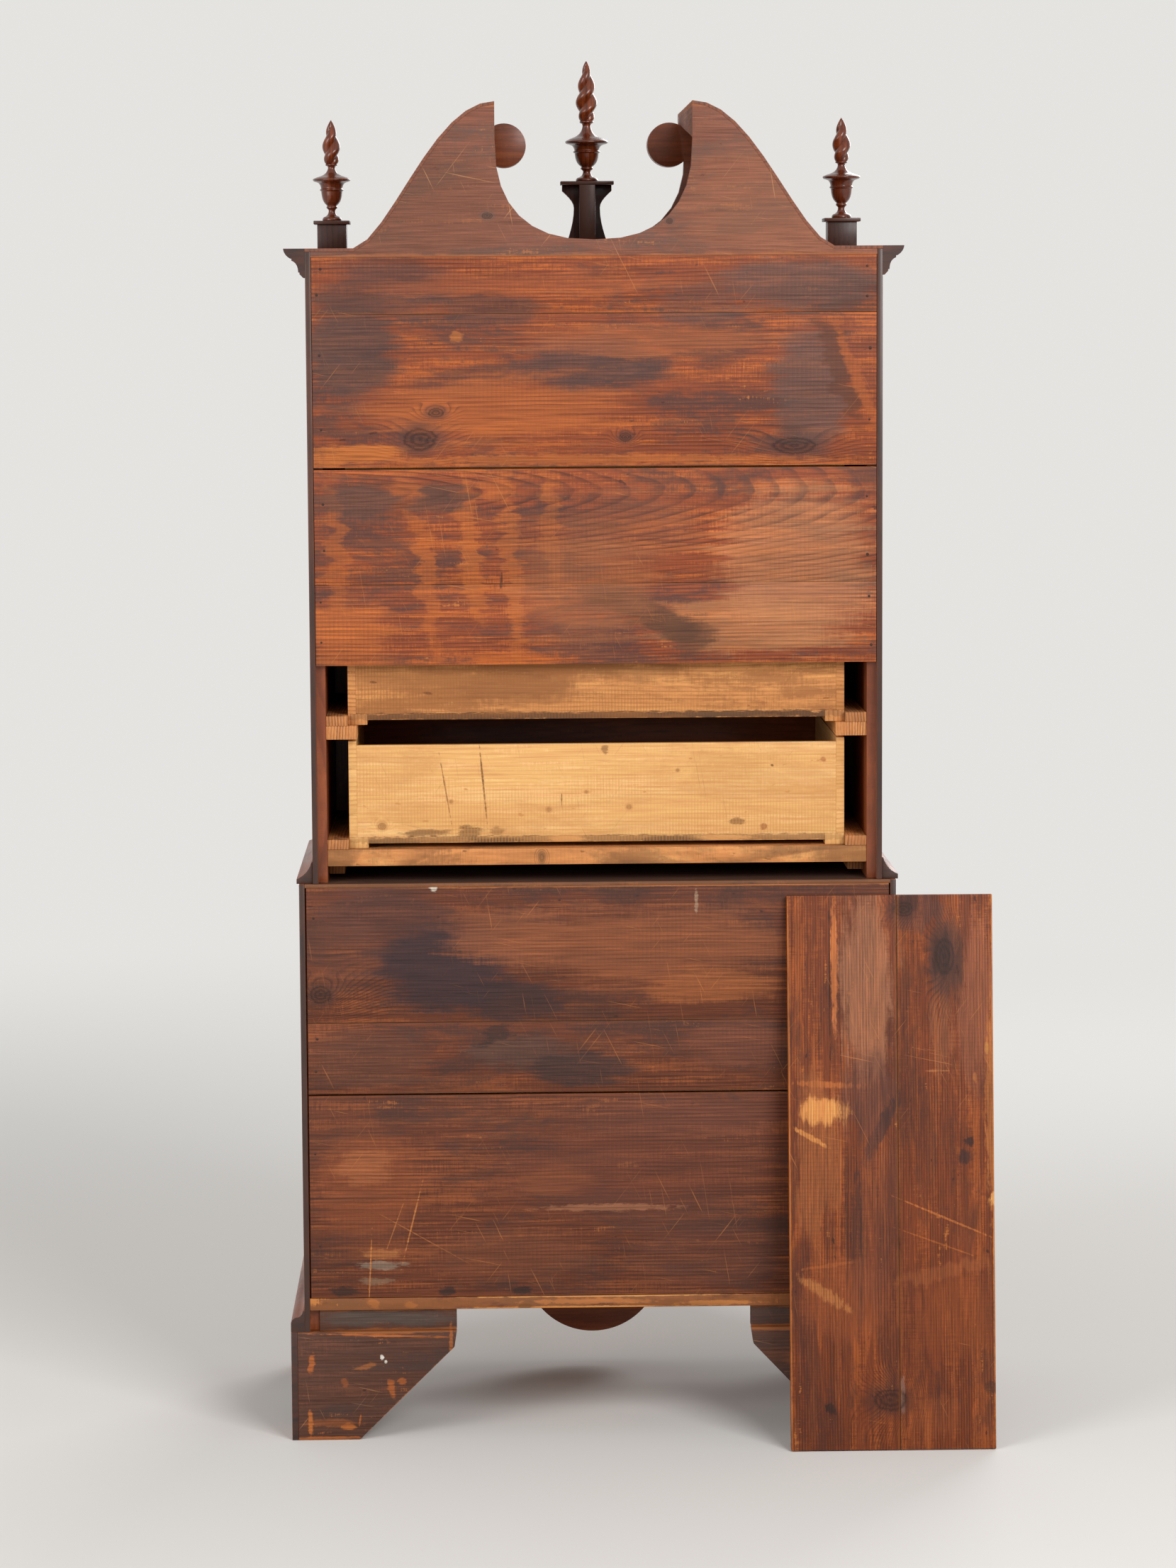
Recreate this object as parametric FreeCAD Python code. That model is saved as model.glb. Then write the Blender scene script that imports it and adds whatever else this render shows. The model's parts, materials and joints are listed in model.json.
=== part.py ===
"""Bonnet-top chest-on-chest: a lower and an upper case of drawers on bracket feet, under a scrolled hood.

Millimetres. The origin is on the floor under the middle of the lower case. X runs to the right and Z up
as seen from the front, and the front faces -Y.
"""
import FreeCAD, Part
import math
import os
from FreeCAD import Vector as V

os.makedirs("parts", exist_ok=True)

# ---- Cases ---------------------------------------------------------------------------------------
LOWER_WIDTH = 965.0
LOWER_DEPTH = 512.0
SETBACK = 22.5            # the upper case stands in from the lower one, at the front and at the sides
BACK_STEP = 2.0           # and its back is this far forward of the lower back
FOOT_HEIGHT = 180.0
LOWER_SIDE_H = 737.0
UPPER_SIDE_H = 1013.0
SIDE_T = 24.0
BOARD_T = 20.0            # lower top and bottom boards, and the upper top board
UPPER_FLOOR_T = 27.0
UPPER_FLOOR_RAISE = 27.0  # the upper case's floor stands this far above its sides' feet
CLEAT = (26.0, 20.0)      # width and height of the cleats under the upper floor
BASE_RAIL_H = 36.0        # the lower floor stands this far above its sides' feet
LIP_T = 9.0               # what the back rabbet leaves of a side
BACK_T = 14.0
TOP_EDGE_LIP = 6.0        # the lower top board's edge that shows above the backboards

# ---- Corners -------------------------------------------------------------------------------------
COLUMN_R = 36.0
COLUMN_BASE_H = 46.0
SHAFT_INSET = 4.0
FLUTES = 5
FLUTE_R = 2.6
STILE_W = 20.5
STILE_BACK_T = 20.0
FRIEZE_H = 121.0          # from the top of the upper side down to the top drawer's opening

# ---- Backboards ------------------------------------------------------------------------------------
OPEN_SHARE = 0.3517       # of the upper back, left open by the loose panel
UPPER_BACKS = (0.2, 0.284, 0.376, 0.14)  # shares of the closed part, from its lowest board up
LOWER_BACKS = (0.497, 0.174, 0.329)
LOWER_BACK_GAP = 2.5      # at each end of a backboard
UPPER_BACK_GAP = 0.8
PANEL_GAP = 3.0
LOOSE_BOARDS = (177.0, 155.0)
LOOSE_LENGTH = 897.0
LOOSE_LEAN_DEG = 6.1
LOOSE_EDGE_X = -304.5     # the loose panel's edge nearest the middle
LOOSE_CLEAR = 0.3

# ---- Drawers -------------------------------------------------------------------------------------
UPPER_DRAWERS = 5
UPPER_STEP = 14.3         # each opening is this much taller than the one above
LOWER_DRAWERS = 3
LOWER_STEP = 10.0
DIVIDER_T = 22.0
RUNNER_W = 50.0
RUNNER_GAP = 0.5          # from a runner to the backboards
GUIDE_H = 16.0
FRONT_T = 22.0
FRONT_LIP_T = 6.0
FRONT_LIP_W = 6.0
FRONT_FIT = 1.2           # all round a drawer front in its opening
BOX_INSET = 2.5           # from the opening's edge to the drawer's side
BOX_SIDE_T = 13.0
BOX_BACK_GAP = 15.0       # behind a closed drawer
BOX_TOP_FIT = 4.0
BOX_BACK_DROP = 7.0       # the drawer's back is lower than its sides
BOTTOM_T = 10.0
STRIP = (31.0, 18.0)      # width and height of the strips a drawer slides on
RUN_FIT = 0.3
PINS = 3
PIN_REAR_H = 2.5
PIN_FRONT_H = 9.0

# ---- Brasses -------------------------------------------------------------------------------------
PULL_X = 245.0
POST_SPREAD = 80.0
POST_W = 7.0
POST_L = 13.0
PLATE_T = 1.5
PLATE_W = 112.0
PLATE_H = 62.0
PIVOT_OUT = 9.0           # from the plate's face
PIN_R = 2.0
PIN_FIT = 0.05
PIN_SIDES = 6
BAIL_T = 4.4
BAIL_DROP = 34.0
BAIL_RISE = 10.0          # the bend of the grip
BAIL_SIDE_GAP = 1.5
ESCUTCHEON_W = 40.0

# ---- Mouldings and feet --------------------------------------------------------------------------
CORNICE_OUT = 34.0
CORNICE_H = 46.5
MID_H = 35.0
MID_OVERHANG = 4.0
MID_FIT = 0.5
MID_END_GAP = 6.0
BASE_OUT = 22.5
BRACKET_T = 22.0
BRACKET_W = 190.0
BRACKET_FOOT_W = 100.0
BRACKET_LIP_T = 10.5      # the side bracket's edge that shows beside the back one
REAR_BRACKET_WIDTHS = (260.0, 248.0)  # the right and the left one, sawn by eye
REAR_BRACKET_T = 18.0
REAR_SHOULDER_H = 27.0
STRIP_T = 20.0
BLOCK_W = 40.0
BLOCK_LIFT = 6.0
DROP_R = 119.0
DROP_H = 126.0
DROP_T = 20.0

# ---- Bonnet --------------------------------------------------------------------------------------
SCROLL_T = 22.0
SCROLL_FLAT = 77.0        # level before the scroll starts
SCROLL_END_X = 157.0
SCROLL_RISE = 230.0
SCROLL_FULLNESS = 0.8     # under 1 the ogee swells towards its top
ROOF_T = 5.0
ROOF_BOARDS = 10
REAR_SCROLL_SILL = 9.0    # the rear scroll board's foot, below the top of the sides
DIP_BOTTOM = 12.0         # above the cornice's top
DIP_H = 158.0
DIP_POWER = 2.5           # a superellipse, squarer than a circle
FRONT_DIP_OUT = 9.0       # the front board's dip is this much wider to each side
ROSETTE_X = 140.0
ROSETTE_Z = 177.0         # above the cornice's top
ROSETTE_R = 37.2
ROSETTE_T = 36.0
END_BOARD_T = 6.0
END_BOARD_REAR_H = 52.0
END_BOARD_FRONT_H = 14.0
PLINTH_W = 49.0
PLINTH_H = 46.0
PLINTH_INSET = 28.5       # from the side of the case to the plinth's middle
CAP_T = 6.0
CAP_OVER = 6.0
MID_PLINTH_TOP_W = 84.0
MID_PLINTH_WAIST_W = 44.0
MID_PLINTH_FOOT_W = 69.0
MID_PLINTH_H = 98.0
WAIST_FLATS = 5
POST_BACK = (27.0, 28.0)  # width and depth of the post behind the middle plinth
FINIAL = (65.3, 36.2, 99.5)       # heights of the bowl up to its brim, of the neck and of the flame
FINIAL_R = 36.4
SIDE_FINIAL = (68.7, 26.7, 73.1)
SIDE_FINIAL_R = 32.0
FLAME_PITCH = 62.2        # climb of a strand in one turn
FLAME_SIDES = 8
FLAME_RING_H = 5.9        # about this far between the flame's rings
TURNING_SIDES = 12
ROSETTE_SIDES = 24

# ---- Places that follow from the sizes --------------------------------------------------------------
LOWER_HALF = LOWER_WIDTH / 2
UPPER_HALF = LOWER_HALF - SETBACK
LOWER_FRONT = -LOWER_DEPTH / 2
LOWER_BACK = LOWER_DEPTH / 2
UPPER_FRONT = LOWER_FRONT + SETBACK
UPPER_BACK = LOWER_BACK - BACK_STEP
LOWER_TOP = FOOT_HEIGHT + LOWER_SIDE_H
LOWER_FLOOR = FOOT_HEIGHT + BASE_RAIL_H + BOARD_T
UPPER_FLOOR = LOWER_TOP + UPPER_FLOOR_RAISE + UPPER_FLOOR_T
UPPER_TOP = LOWER_TOP + UPPER_SIDE_H
CORNICE_TOP = UPPER_TOP + ROOF_T
FRIEZE_Z = UPPER_TOP - FRIEZE_H
SCROLL_START_X = UPPER_HALF - SCROLL_FLAT
PLINTH_X = UPPER_HALF - PLINTH_INSET
REAR_SCROLL_FOOT = UPPER_TOP - REAR_SCROLL_SILL


def box(x0, x1, y0, y1, z0, z1):
    return Part.makeBox(x1 - x0, y1 - y0, z1 - z0, V(x0, y0, z0))


def mirrored(shape):
    return shape.mirror(V(0, 0, 0), V(1, 0, 0))


def both(shape):
    """A piece and its twin on the other side."""
    return [shape, mirrored(shape)]


def polygon(points):
    return Part.makePolygon([V(*p) for p in points] + [V(*points[0])])


def slab(points, y0, y1):
    """A flat board: an outline in X and Z, from y0 to y1."""
    face = Part.Face(polygon([(x, y0, z) for x, z in points]))
    return face.extrude(V(0, y1 - y0, 0))


def save(name, solids):
    solids = solids if isinstance(solids, list) else [solids]
    loose = [s for shape in solids for s in shape.Solids]
    for s in loose:
        if not s.isValid():
            print("not valid:", name)
    Part.makeCompound(loose).exportStep(f"parts/{name}.step")


class Case:
    """The measures that one case of drawers gives to what is built into it."""

    def __init__(self, half, front, back, foot, top, floor, ceiling):
        self.half, self.front, self.back = half, front, back
        self.foot, self.top = foot, top
        self.floor, self.ceiling = floor, ceiling
        self.inner = half - SIDE_T
        self.opening = half - COLUMN_R - STILE_W
        self.column_back = front + COLUMN_R
        self.stile_back = self.column_back + STILE_BACK_T
        self.back_face = back - BACK_T
        self.rabbet = half - LIP_T


LOWER = Case(LOWER_HALF, LOWER_FRONT, LOWER_BACK, FOOT_HEIGHT, LOWER_TOP, LOWER_FLOOR, LOWER_TOP - BOARD_T)
UPPER = Case(UPPER_HALF, UPPER_FRONT, UPPER_BACK, LOWER_TOP, UPPER_TOP, UPPER_FLOOR, FRIEZE_Z)


# ---- The cases ---------------------------------------------------------------------------------------
def case_side(case, front_edge, notch_top):
    """One side: rabbeted for the backboards, and notched behind the quarter column."""
    side = box(case.inner, case.half, front_edge, case.back, case.foot, case.top)
    rabbet = box(case.inner, case.rabbet, case.back_face, case.back, case.foot, case.top)
    side = side.cut(rabbet)
    if front_edge < case.column_back:
        side = side.cut(box(case.inner, case.half, front_edge, case.column_back, case.foot, notch_top))
    return side


def deck(case, z0, z1, back):
    """A floor or top board: full width between the sides, narrower where it comes out between the stiles."""
    wide = box(-case.inner, case.inner, case.stile_back, back, z0, z1)
    narrow = box(-case.opening, case.opening, case.front, case.stile_back, z0, z1)
    return wide.fuse(narrow).removeSplitter()


def stile(case, top):
    """The upright beside the drawers, which carries the quarter column in its corner."""
    outer = case.half - COLUMN_R
    face = box(case.opening, outer, case.front, case.column_back, case.foot, top)
    backing = box(case.opening, case.inner, case.column_back, case.stile_back, case.foot, top)
    return face.fuse(backing).removeSplitter()


def quarter_column(case, top):
    """A fluted quarter column with a turned base and capital, its axis on the notch's inner corner."""
    r, shaft = COLUMN_R, COLUMN_R - SHAFT_INSET
    block, ring = 0.6 * COLUMN_BASE_H, 0.85 * COLUMN_BASE_H
    half = [(0, 0), (r, 0), (r, block), (shaft + 1.5, block), (shaft + 1.5, ring), (shaft, ring)]
    height = top - case.foot
    outline = half + [(x, height - z) for x, z in reversed(half)]
    face = Part.Face(polygon([(x, 0, z) for x, z in outline]))
    column = face.revolve(V(0, 0, 0), V(0, 0, 1), -90)
    start, length = COLUMN_BASE_H + 2 * FLUTE_R, height - 2 * COLUMN_BASE_H - 4 * FLUTE_R
    for i in range(FLUTES):
        angle = math.radians(-90 * (i + 0.5) / FLUTES)
        x, y = shaft * math.cos(angle), shaft * math.sin(angle)
        turns = [a * math.pi / 3 + angle for a in range(6)]
        flute = [(x + FLUTE_R * math.cos(a), y + FLUTE_R * math.sin(a), start) for a in turns]
        column = column.cut(Part.Face(polygon(flute)).extrude(V(0, 0, length)))
    column.translate(V(case.half - COLUMN_R, case.column_back, case.foot))
    return column


def openings(case, count, step):
    """The floor and height of each drawer opening, from the top one down."""
    room = case.ceiling - case.floor - (count - 1) * DIVIDER_T
    heights = [room / count + step * (i - (count - 1) / 2) for i in range(count)]
    places, z = [], case.ceiling
    for h in heights:
        places.append((z - h, h))
        z -= h + DIVIDER_T
    return places


def divider(case, floor):
    return box(-case.opening, case.opening, case.front, case.stile_back, floor - DIVIDER_T, floor)


def runner(case, floor):
    return box(case.inner - RUNNER_W, case.inner, case.stile_back, case.back_face - RUNNER_GAP,
               floor - DIVIDER_T, floor)


def guide(case, floor):
    """The strip along the side that keeps a drawer straight."""
    edge = case.opening - BOX_INSET + RUN_FIT
    return box(edge, case.inner, case.stile_back, case.back_face - RUNNER_GAP, floor, floor + GUIDE_H)


# ---- Drawers -----------------------------------------------------------------------------------------
def thumbnail_slab(half_w, z0, z1, y0, y1):
    """A lipped front: quarter-rounds along its four face edges, mitred at the corners."""
    r = y1 - y0

    def profile(a0, a1, to_point):
        start, end = a0 + r, a1 - r
        s = r * math.sqrt(0.5)
        edges = [
            Part.LineSegment(to_point(a0, y1), to_point(a1, y1)).toShape(),
            Part.Arc(to_point(a1, y1), to_point(end + s, y1 - s), to_point(end, y0)).toShape(),
            Part.LineSegment(to_point(end, y0), to_point(start, y0)).toShape(),
            Part.Arc(to_point(start, y0), to_point(start - s, y1 - s), to_point(a0, y1)).toShape(),
        ]
        return Part.Face(Part.Wire(edges))

    across = profile(-half_w, half_w, lambda a, y: V(a, y, z0)).extrude(V(0, 0, z1 - z0))
    upright = profile(z0, z1, lambda a, y: V(-half_w, y, a)).extrude(V(2 * half_w, 0, 0))
    return across.common(upright)


def drawer_front(case, floor, height):
    half, lip = case.opening - FRONT_FIT, case.opening + FRONT_LIP_W
    body = box(-half, half, case.front, case.front + FRONT_T - FRONT_LIP_T,
               floor + FRONT_FIT, floor + height - FRONT_FIT)
    face = thumbnail_slab(lip, floor - FRONT_LIP_W, floor + height + FRONT_LIP_W,
                          case.front - FRONT_LIP_T, case.front)
    return body.fuse(face).removeSplitter()


def dovetail_pin(x0, x1, z, rear):
    """One pin of the drawer's back: slim at the rear face and wide inside, so it can't pull out."""
    inside = rear - BOX_SIDE_T
    a, b = PIN_REAR_H / 2, PIN_FRONT_H / 2
    points = [(x0, rear, z - a), (x0, rear, z + a), (x0, inside, z + b), (x0, inside, z - b)]
    return Part.Face(polygon(points)).extrude(V(x1 - x0, 0, 0))


def drawer_box(case, floor, height):
    """Sides and back joined by dovetails, a bottom board, and the two strips it slides on."""
    outer = case.opening - BOX_INSET
    inner = outer - BOX_SIDE_T
    y0 = case.front + FRONT_T - FRONT_LIP_T
    y1 = case.back_face - BOX_BACK_GAP
    z0, z1 = floor + STRIP[1], floor + height - BOX_TOP_FIT
    z_back = z1 - BOX_BACK_DROP
    side = box(inner, outer, y0, y1, z0, z1)
    back = box(-inner, inner, y1 - BOX_SIDE_T, y1, z0, z_back)
    for i in range(PINS):
        z = z0 + (z_back - z0) * (i + 1) / (PINS + 1)
        pin = dovetail_pin(inner, outer, z, y1)
        side = side.cut(pin)
        back = back.fuse(pin).fuse(mirrored(pin))
    edge = outer - STRIP[0]
    bottom = box(-edge, edge, y0, y1, z0 - BOTTOM_T, z0)
    strip = box(edge, outer, y0, y1, floor + RUN_FIT, z0)
    return both(side) + [back.removeSplitter(), bottom] + both(strip)


def plate_outline(w, h):
    """A bat-wing back plate, up its right edge and down its left."""
    quarter = [(0.5, 0.05), (0.42, 0.16), (0.45, 0.32), (0.27, 0.28), (0.07, 0.5)]
    right = [(x, -z) for x, z in reversed(quarter)] + quarter
    return [(x * w, z * h) for x, z in right] + [(-x * w, z * h) for x, z in reversed(right)]


def rod(r, x0, x1, y, z):
    """A slim rod along X, cut to flats."""
    steps = [2 * math.pi * (i + 0.5) / PIN_SIDES for i in range(PIN_SIDES)]
    ring = [(x0, y + r * math.cos(a), z + r * math.sin(a)) for a in steps]
    return Part.Face(polygon(ring)).extrude(V(x1 - x0, 0, 0))


def pull_plate_and_posts(x, face, z):
    """A back plate and two posts, each bored for the end of its bail."""
    plate = slab([(x + px, z + pz) for px, pz in plate_outline(PLATE_W, PLATE_H)], face - PLATE_T, face)
    front = face - PLATE_T
    hole = (PIN_R + PIN_FIT) / math.cos(math.pi / PIN_SIDES)
    posts = []
    for at in (x - POST_SPREAD / 2, x + POST_SPREAD / 2):
        post = box(at - POST_W / 2, at + POST_W / 2, front - POST_L, front, z - POST_W / 2, z + POST_W / 2)
        bore = rod(hole, at - POST_W, at + POST_W, front - PIVOT_OUT, z)
        posts.append(post.cut(bore))
    return [plate] + posts


def escutcheon(face, z):
    keyhole = [(-1.6, -9), (1.6, -9), (1.6, 1), (3.2, 5), (0, 8), (-3.2, 5), (-1.6, 1)]
    plate = slab([(px, z + pz) for px, pz in plate_outline(ESCUTCHEON_W, PLATE_H)], face - PLATE_T, face)
    return plate.cut(slab([(px, z + pz) for px, pz in keyhole], face - 2 * PLATE_T, face + PLATE_T))


def bail(x, face, z):
    """A swinging handle: a bowed grip between two arms whose ends turn inwards through the posts."""
    y = face - PLATE_T - PIVOT_OUT
    inside = POST_SPREAD / 2 + POST_W / 2 + BAIL_SIDE_GAP
    outside = inside + BAIL_T
    top, knee, low = z + BAIL_T / 2, z - BAIL_DROP + BAIL_RISE + BAIL_T, z - BAIL_DROP

    bend = 0.55 * inside
    inner_edge = [(inside, knee), (bend, low + 1.4 * BAIL_T), (-bend, low + 1.4 * BAIL_T), (-inside, knee)]
    outer_edge = [(-outside, knee), (-bend, low), (bend, low), (outside, knee)]
    outline = [(outside, top), (inside, top)] + inner_edge + [(-inside, top), (-outside, top)] + outer_edge
    grip = slab([(x + px, pz) for px, pz in outline], y - BAIL_T / 2, y + BAIL_T / 2)
    reach = POST_SPREAD / 2 - POST_W / 2
    for side in (-1, 1):
        x0, x1 = sorted((x + side * reach, x + side * (inside + BAIL_T / 2)))
        grip = grip.fuse(rod(PIN_R, x0, x1, y, z))
    return grip.removeSplitter()


def save_drawer(name, case, floor, height):
    face, middle = case.front - FRONT_LIP_T, floor + height / 2
    save(f"{name}_front", drawer_front(case, floor, height))
    save(f"{name}_box", drawer_box(case, floor, height))
    brasses = [escutcheon(face, middle)]
    for x in (-PULL_X, PULL_X):
        brasses += pull_plate_and_posts(x, face, middle)
    save(f"{name}_brasses", brasses)
    save(f"{name}_bails", [bail(x, face, middle) for x in (-PULL_X, PULL_X)])


# ---- Mouldings -----------------------------------------------------------------------------------------
def cornice_profile():
    """The cornice's section, out and down from its top inner edge: a thumb, a fillet, a cove and a bevel."""
    w, h = CORNICE_OUT, CORNICE_H
    p = [(0, 0), (w, 0), (0.68 * w, -0.34 * h), (0.62 * w, -0.41 * h), (0.31 * w, -0.81 * h),
         (0.25 * w, -0.87 * h), (0.08 * w, -h), (0, -h)]
    thumb, cove = (0.94 * w, -0.18 * h), (0.41 * w, -0.57 * h)
    return p, thumb, cove


def moulding_wire(points, arcs, place):
    """A closed section. arcs gives, by a corner's number, a point on the curve to the next corner."""
    edges = []
    for i, p in enumerate(points):
        a, b = place(*p), place(*points[(i + 1) % len(points)])
        if i in arcs:
            edges.append(Part.Arc(a, place(*arcs[i]), b).toShape())
        else:
            edges.append(Part.LineSegment(a, b).toShape())
    return Part.Wire(edges)


def mitred_run(points, arcs, half, front, back_end, z):
    """A moulding round the front and sides of a case, as three pieces with mitred corners."""
    reach = max(p[0] for p in points)
    side_wire = moulding_wire(points, arcs, lambda u, v: V(half + u, back_end, z + v))
    side = Part.Face(side_wire).extrude(V(0, front - reach - back_end, 0))
    front_wire = moulding_wire(points, arcs, lambda u, v: V(-half - reach, front - u, z + v))
    across = Part.Face(front_wire).extrude(V(2 * (half + reach), 0, 0))
    low, high = z + min(p[1] for p in points) - 1, z + max(p[1] for p in points) + 1
    big = 2 * reach
    left = half - big
    corner = [(half, front, low), (half + big, front - big, low), (left, front - big, low), (left, front, low)]
    corner = Part.Face(polygon(corner)).extrude(V(0, 0, high - low))
    outer = Part.Face(polygon([(half, front, low), (half + big, front - big, low), (half + big, front, low)]))
    outer = outer.extrude(V(0, 0, high - low))
    return across.cut(outer).cut(mirrored(outer)), side.cut(corner)


def run_pieces(points, arcs, half, front, back_end, z):
    across, side = mitred_run(points, arcs, half, front, back_end, z)
    return [across] + both(side)


# ---- Bonnet --------------------------------------------------------------------------------------------
def scroll_height(x):
    """The hood's height above the cornice at x: flat outside, then an ogee up to the rosette."""
    t = (SCROLL_START_X - x) / (SCROLL_START_X - SCROLL_END_X)
    t = min(max(t, 0.0), 1.0)
    return SCROLL_RISE * math.sin(math.pi / 2 * t ** SCROLL_FULLNESS) ** 2


def scroll_points():
    """The top of the roof from its outer edge to the rosette, one point for each joint of its boards."""
    span = SCROLL_START_X - SCROLL_END_X
    xs = [UPPER_HALF] + [SCROLL_START_X - span * i / ROOF_BOARDS for i in range(ROOF_BOARDS + 1)]
    return [(x, CORNICE_TOP + scroll_height(x)) for x in xs]


def under(points, depth):
    """The points moved down into the surface, square to it."""
    moved = []
    for i, (x, z) in enumerate(points):
        x0, z0 = points[max(i - 1, 0)]
        x1, z1 = points[min(i + 1, len(points) - 1)]
        length = math.hypot(x1 - x0, z1 - z0)
        moved.append((x - depth * (z1 - z0) / length, z + depth * (x1 - x0) / length))
    moved[0] = (points[0][0], points[0][1] - depth)
    moved[-1] = (points[-1][0], points[-1][1] - depth)
    return moved


def dip_points(half_w, count):
    """The dip between the scrolls, from its middle out to its upright edge."""
    points = []
    for i in range(count + 1):
        a = math.pi / 2 * i / count
        x = half_w * math.sin(a) ** (2 / DIP_POWER)
        z = DIP_H * (1 - math.cos(a) ** (2 / DIP_POWER))
        points.append((x, CORNICE_TOP + DIP_BOTTOM + z))
    return points


def scroll_board(half, bottom, dip_half, y0, y1):
    """A board whose top carries the roof, with the dip between its two scrolls."""
    top = [(min(x, half), z) for x, z in under(scroll_points(), ROOF_T)]
    dip = dip_points(dip_half, 8)
    edge = [(SCROLL_END_X, dip[-1][1])] if dip_half > SCROLL_END_X else []
    right = [(half, bottom)] + top + edge + dip[::-1]
    outline = right + [(-x, z) for x, z in reversed(right)][1:]
    return slab(outline, y0, y1)


def roof_boards():
    outer = scroll_points()
    inner = under(outer, ROOF_T)
    boards = []
    for i in range(len(outer) - 1):
        plank = slab([outer[i], outer[i + 1], inner[i + 1], inner[i]], UPPER_FRONT, UPPER_BACK)
        boards += both(plank)
    return boards


def end_board():
    """Closes the hood's inner end. It is cut away towards the front, behind the rosette."""
    x, y0, y1 = SCROLL_END_X, UPPER_FRONT + SCROLL_T, UPPER_BACK - BACK_T
    top = under(scroll_points(), ROOF_T)[-1][1]
    points = [(x, y0, top), (x, y1, top), (x, y1, top - END_BOARD_REAR_H), (x, y0, top - END_BOARD_FRONT_H)]
    return Part.Face(polygon(points)).extrude(V(END_BOARD_T, 0, 0))


def swan_neck():
    """The cornice carried up the scroll, swept square to its curve and mitred at the corner."""
    points, thumb, cove = cornice_profile()
    start = UPPER_HALF + CORNICE_OUT
    spine = [V(x, UPPER_FRONT, z) for x, z in scroll_points()[1::2]]
    if spine[-1].x > SCROLL_END_X + 1:
        spine.append(V(SCROLL_END_X, UPPER_FRONT, CORNICE_TOP + SCROLL_RISE))
    curve = Part.BSplineCurve()
    curve.interpolate(Points=spine, InitialTangent=V(-1, 0, 0), FinalTangent=V(-1, 0, 0))
    level = Part.LineSegment(V(start, UPPER_FRONT, CORNICE_TOP), spine[0])
    path = Part.Wire([level.toShape(), curve.toShape()])
    corners = points[:2] + [thumb] + points[2:4] + [cove] + points[4:]
    section = moulding_wire(corners, {}, lambda u, v: V(start, UPPER_FRONT - u, CORNICE_TOP + v))
    sweep = Part.BRepOffsetAPI.MakePipeShell(path)
    sweep.setBiNormalMode(V(0, 1, 0))
    sweep.add(section)
    sweep.build()
    sweep.makeSolid()
    neck = sweep.shape()
    low, size = CORNICE_TOP - 2 * CORNICE_H, 2 * CORNICE_OUT
    outer = [(UPPER_HALF, UPPER_FRONT, low), (UPPER_HALF + size, UPPER_FRONT - size, low),
             (UPPER_HALF + size, UPPER_FRONT, low)]
    neck = neck.cut(Part.Face(polygon(outer)).extrude(V(0, 0, 4 * CORNICE_H)))
    seat = Part.makeCylinder(ROSETTE_R, 2 * ROSETTE_T, V(ROSETTE_X, UPPER_FRONT + 1, CORNICE_TOP + ROSETTE_Z),
                             V(0, -1, 0))
    return neck.cut(seat)


def side_cornice():
    points, thumb, cove = cornice_profile()
    across, side = mitred_run(points, {1: thumb, 3: cove}, UPPER_HALF, UPPER_FRONT, UPPER_BACK, CORNICE_TOP)
    return side


def tower(rings, tip=None):
    """A solid built up from rings of points, flat at its foot, and flat or closed to a tip at its top."""
    count, faces = len(rings[0]), [rings[0][::-1]]
    for low, high in zip(rings, rings[1:]):
        for k in range(count):
            n = (k + 1) % count
            faces += [[low[k], low[n], high[n]], [low[k], high[n], high[k]]]
    if tip is None:
        faces.append(rings[-1])
    else:
        faces += [[rings[-1][k], rings[-1][(k + 1) % count], tip] for k in range(count)]
    return Part.Solid(Part.Shell([Part.Face(Part.makePolygon(f + [f[0]])) for f in faces]))


def turned(profile, sides):
    """A turning about an upright axis, cut to flats. Each row of profile is a radius and a height."""
    steps = [2 * math.pi * k / sides for k in range(sides)]
    return tower([[V(r * math.cos(a), r * math.sin(a), h) for a in steps] for r, h in profile])


def urn(heights, radius, x, y, z):
    """The turned urn of a finial: a bowl up to its brim, and a neck up to the collar under the flame."""
    brim, neck, _ = heights
    bowl = [(0.48, 0), (0.48, 0.06), (0.2, 0.19), (0.28, 0.31), (0.5, 0.46), (0.63, 0.69), (0.68, 0.74),
            (0.6, 0.815), (0.64, 0.89), (0.97, 0.94), (1, 1)]
    stem = [(0.66, 0.19), (0.24, 0.53), (0.2, 0.75), (0.32, 0.92), (0.32, 1)]
    rows = [(radius * r, brim * h) for r, h in bowl] + [(radius * r, brim + neck * h) for r, h in stem]
    solid = turned(rows, TURNING_SIDES)
    solid.translate(V(x, y, z))
    return solid


def flame(heights, radius, x, y, z):
    """A corkscrew flame: a two-lobed section that turns as it climbs, swells and closes to a point."""
    foot, height = heights[0] + heights[1], heights[2]
    widths = [0.3, 0.42, 0.48, 0.5, 0.49, 0.46, 0.42, 0.37, 0.31, 0.23, 0.14, 0]
    count = round(height / FLAME_RING_H)
    rings = []
    for i in range(count):
        t = i / count
        low = int(t * (len(widths) - 1))
        width = widths[low] + (widths[low + 1] - widths[low]) * (t * (len(widths) - 1) - low)
        ring = []
        for k in range(FLAME_SIDES):
            a = 2 * math.pi * k / FLAME_SIDES
            r = width * radius * (0.8 + 0.2 * math.cos(2 * a))
            turn = a + 2 * math.pi * height * t / FLAME_PITCH
            ring.append(V(x + r * math.cos(turn), y + r * math.sin(turn), z + foot + height * t))
        rings.append(ring)
    return tower(rings, V(x, y, z + foot + height))


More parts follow.
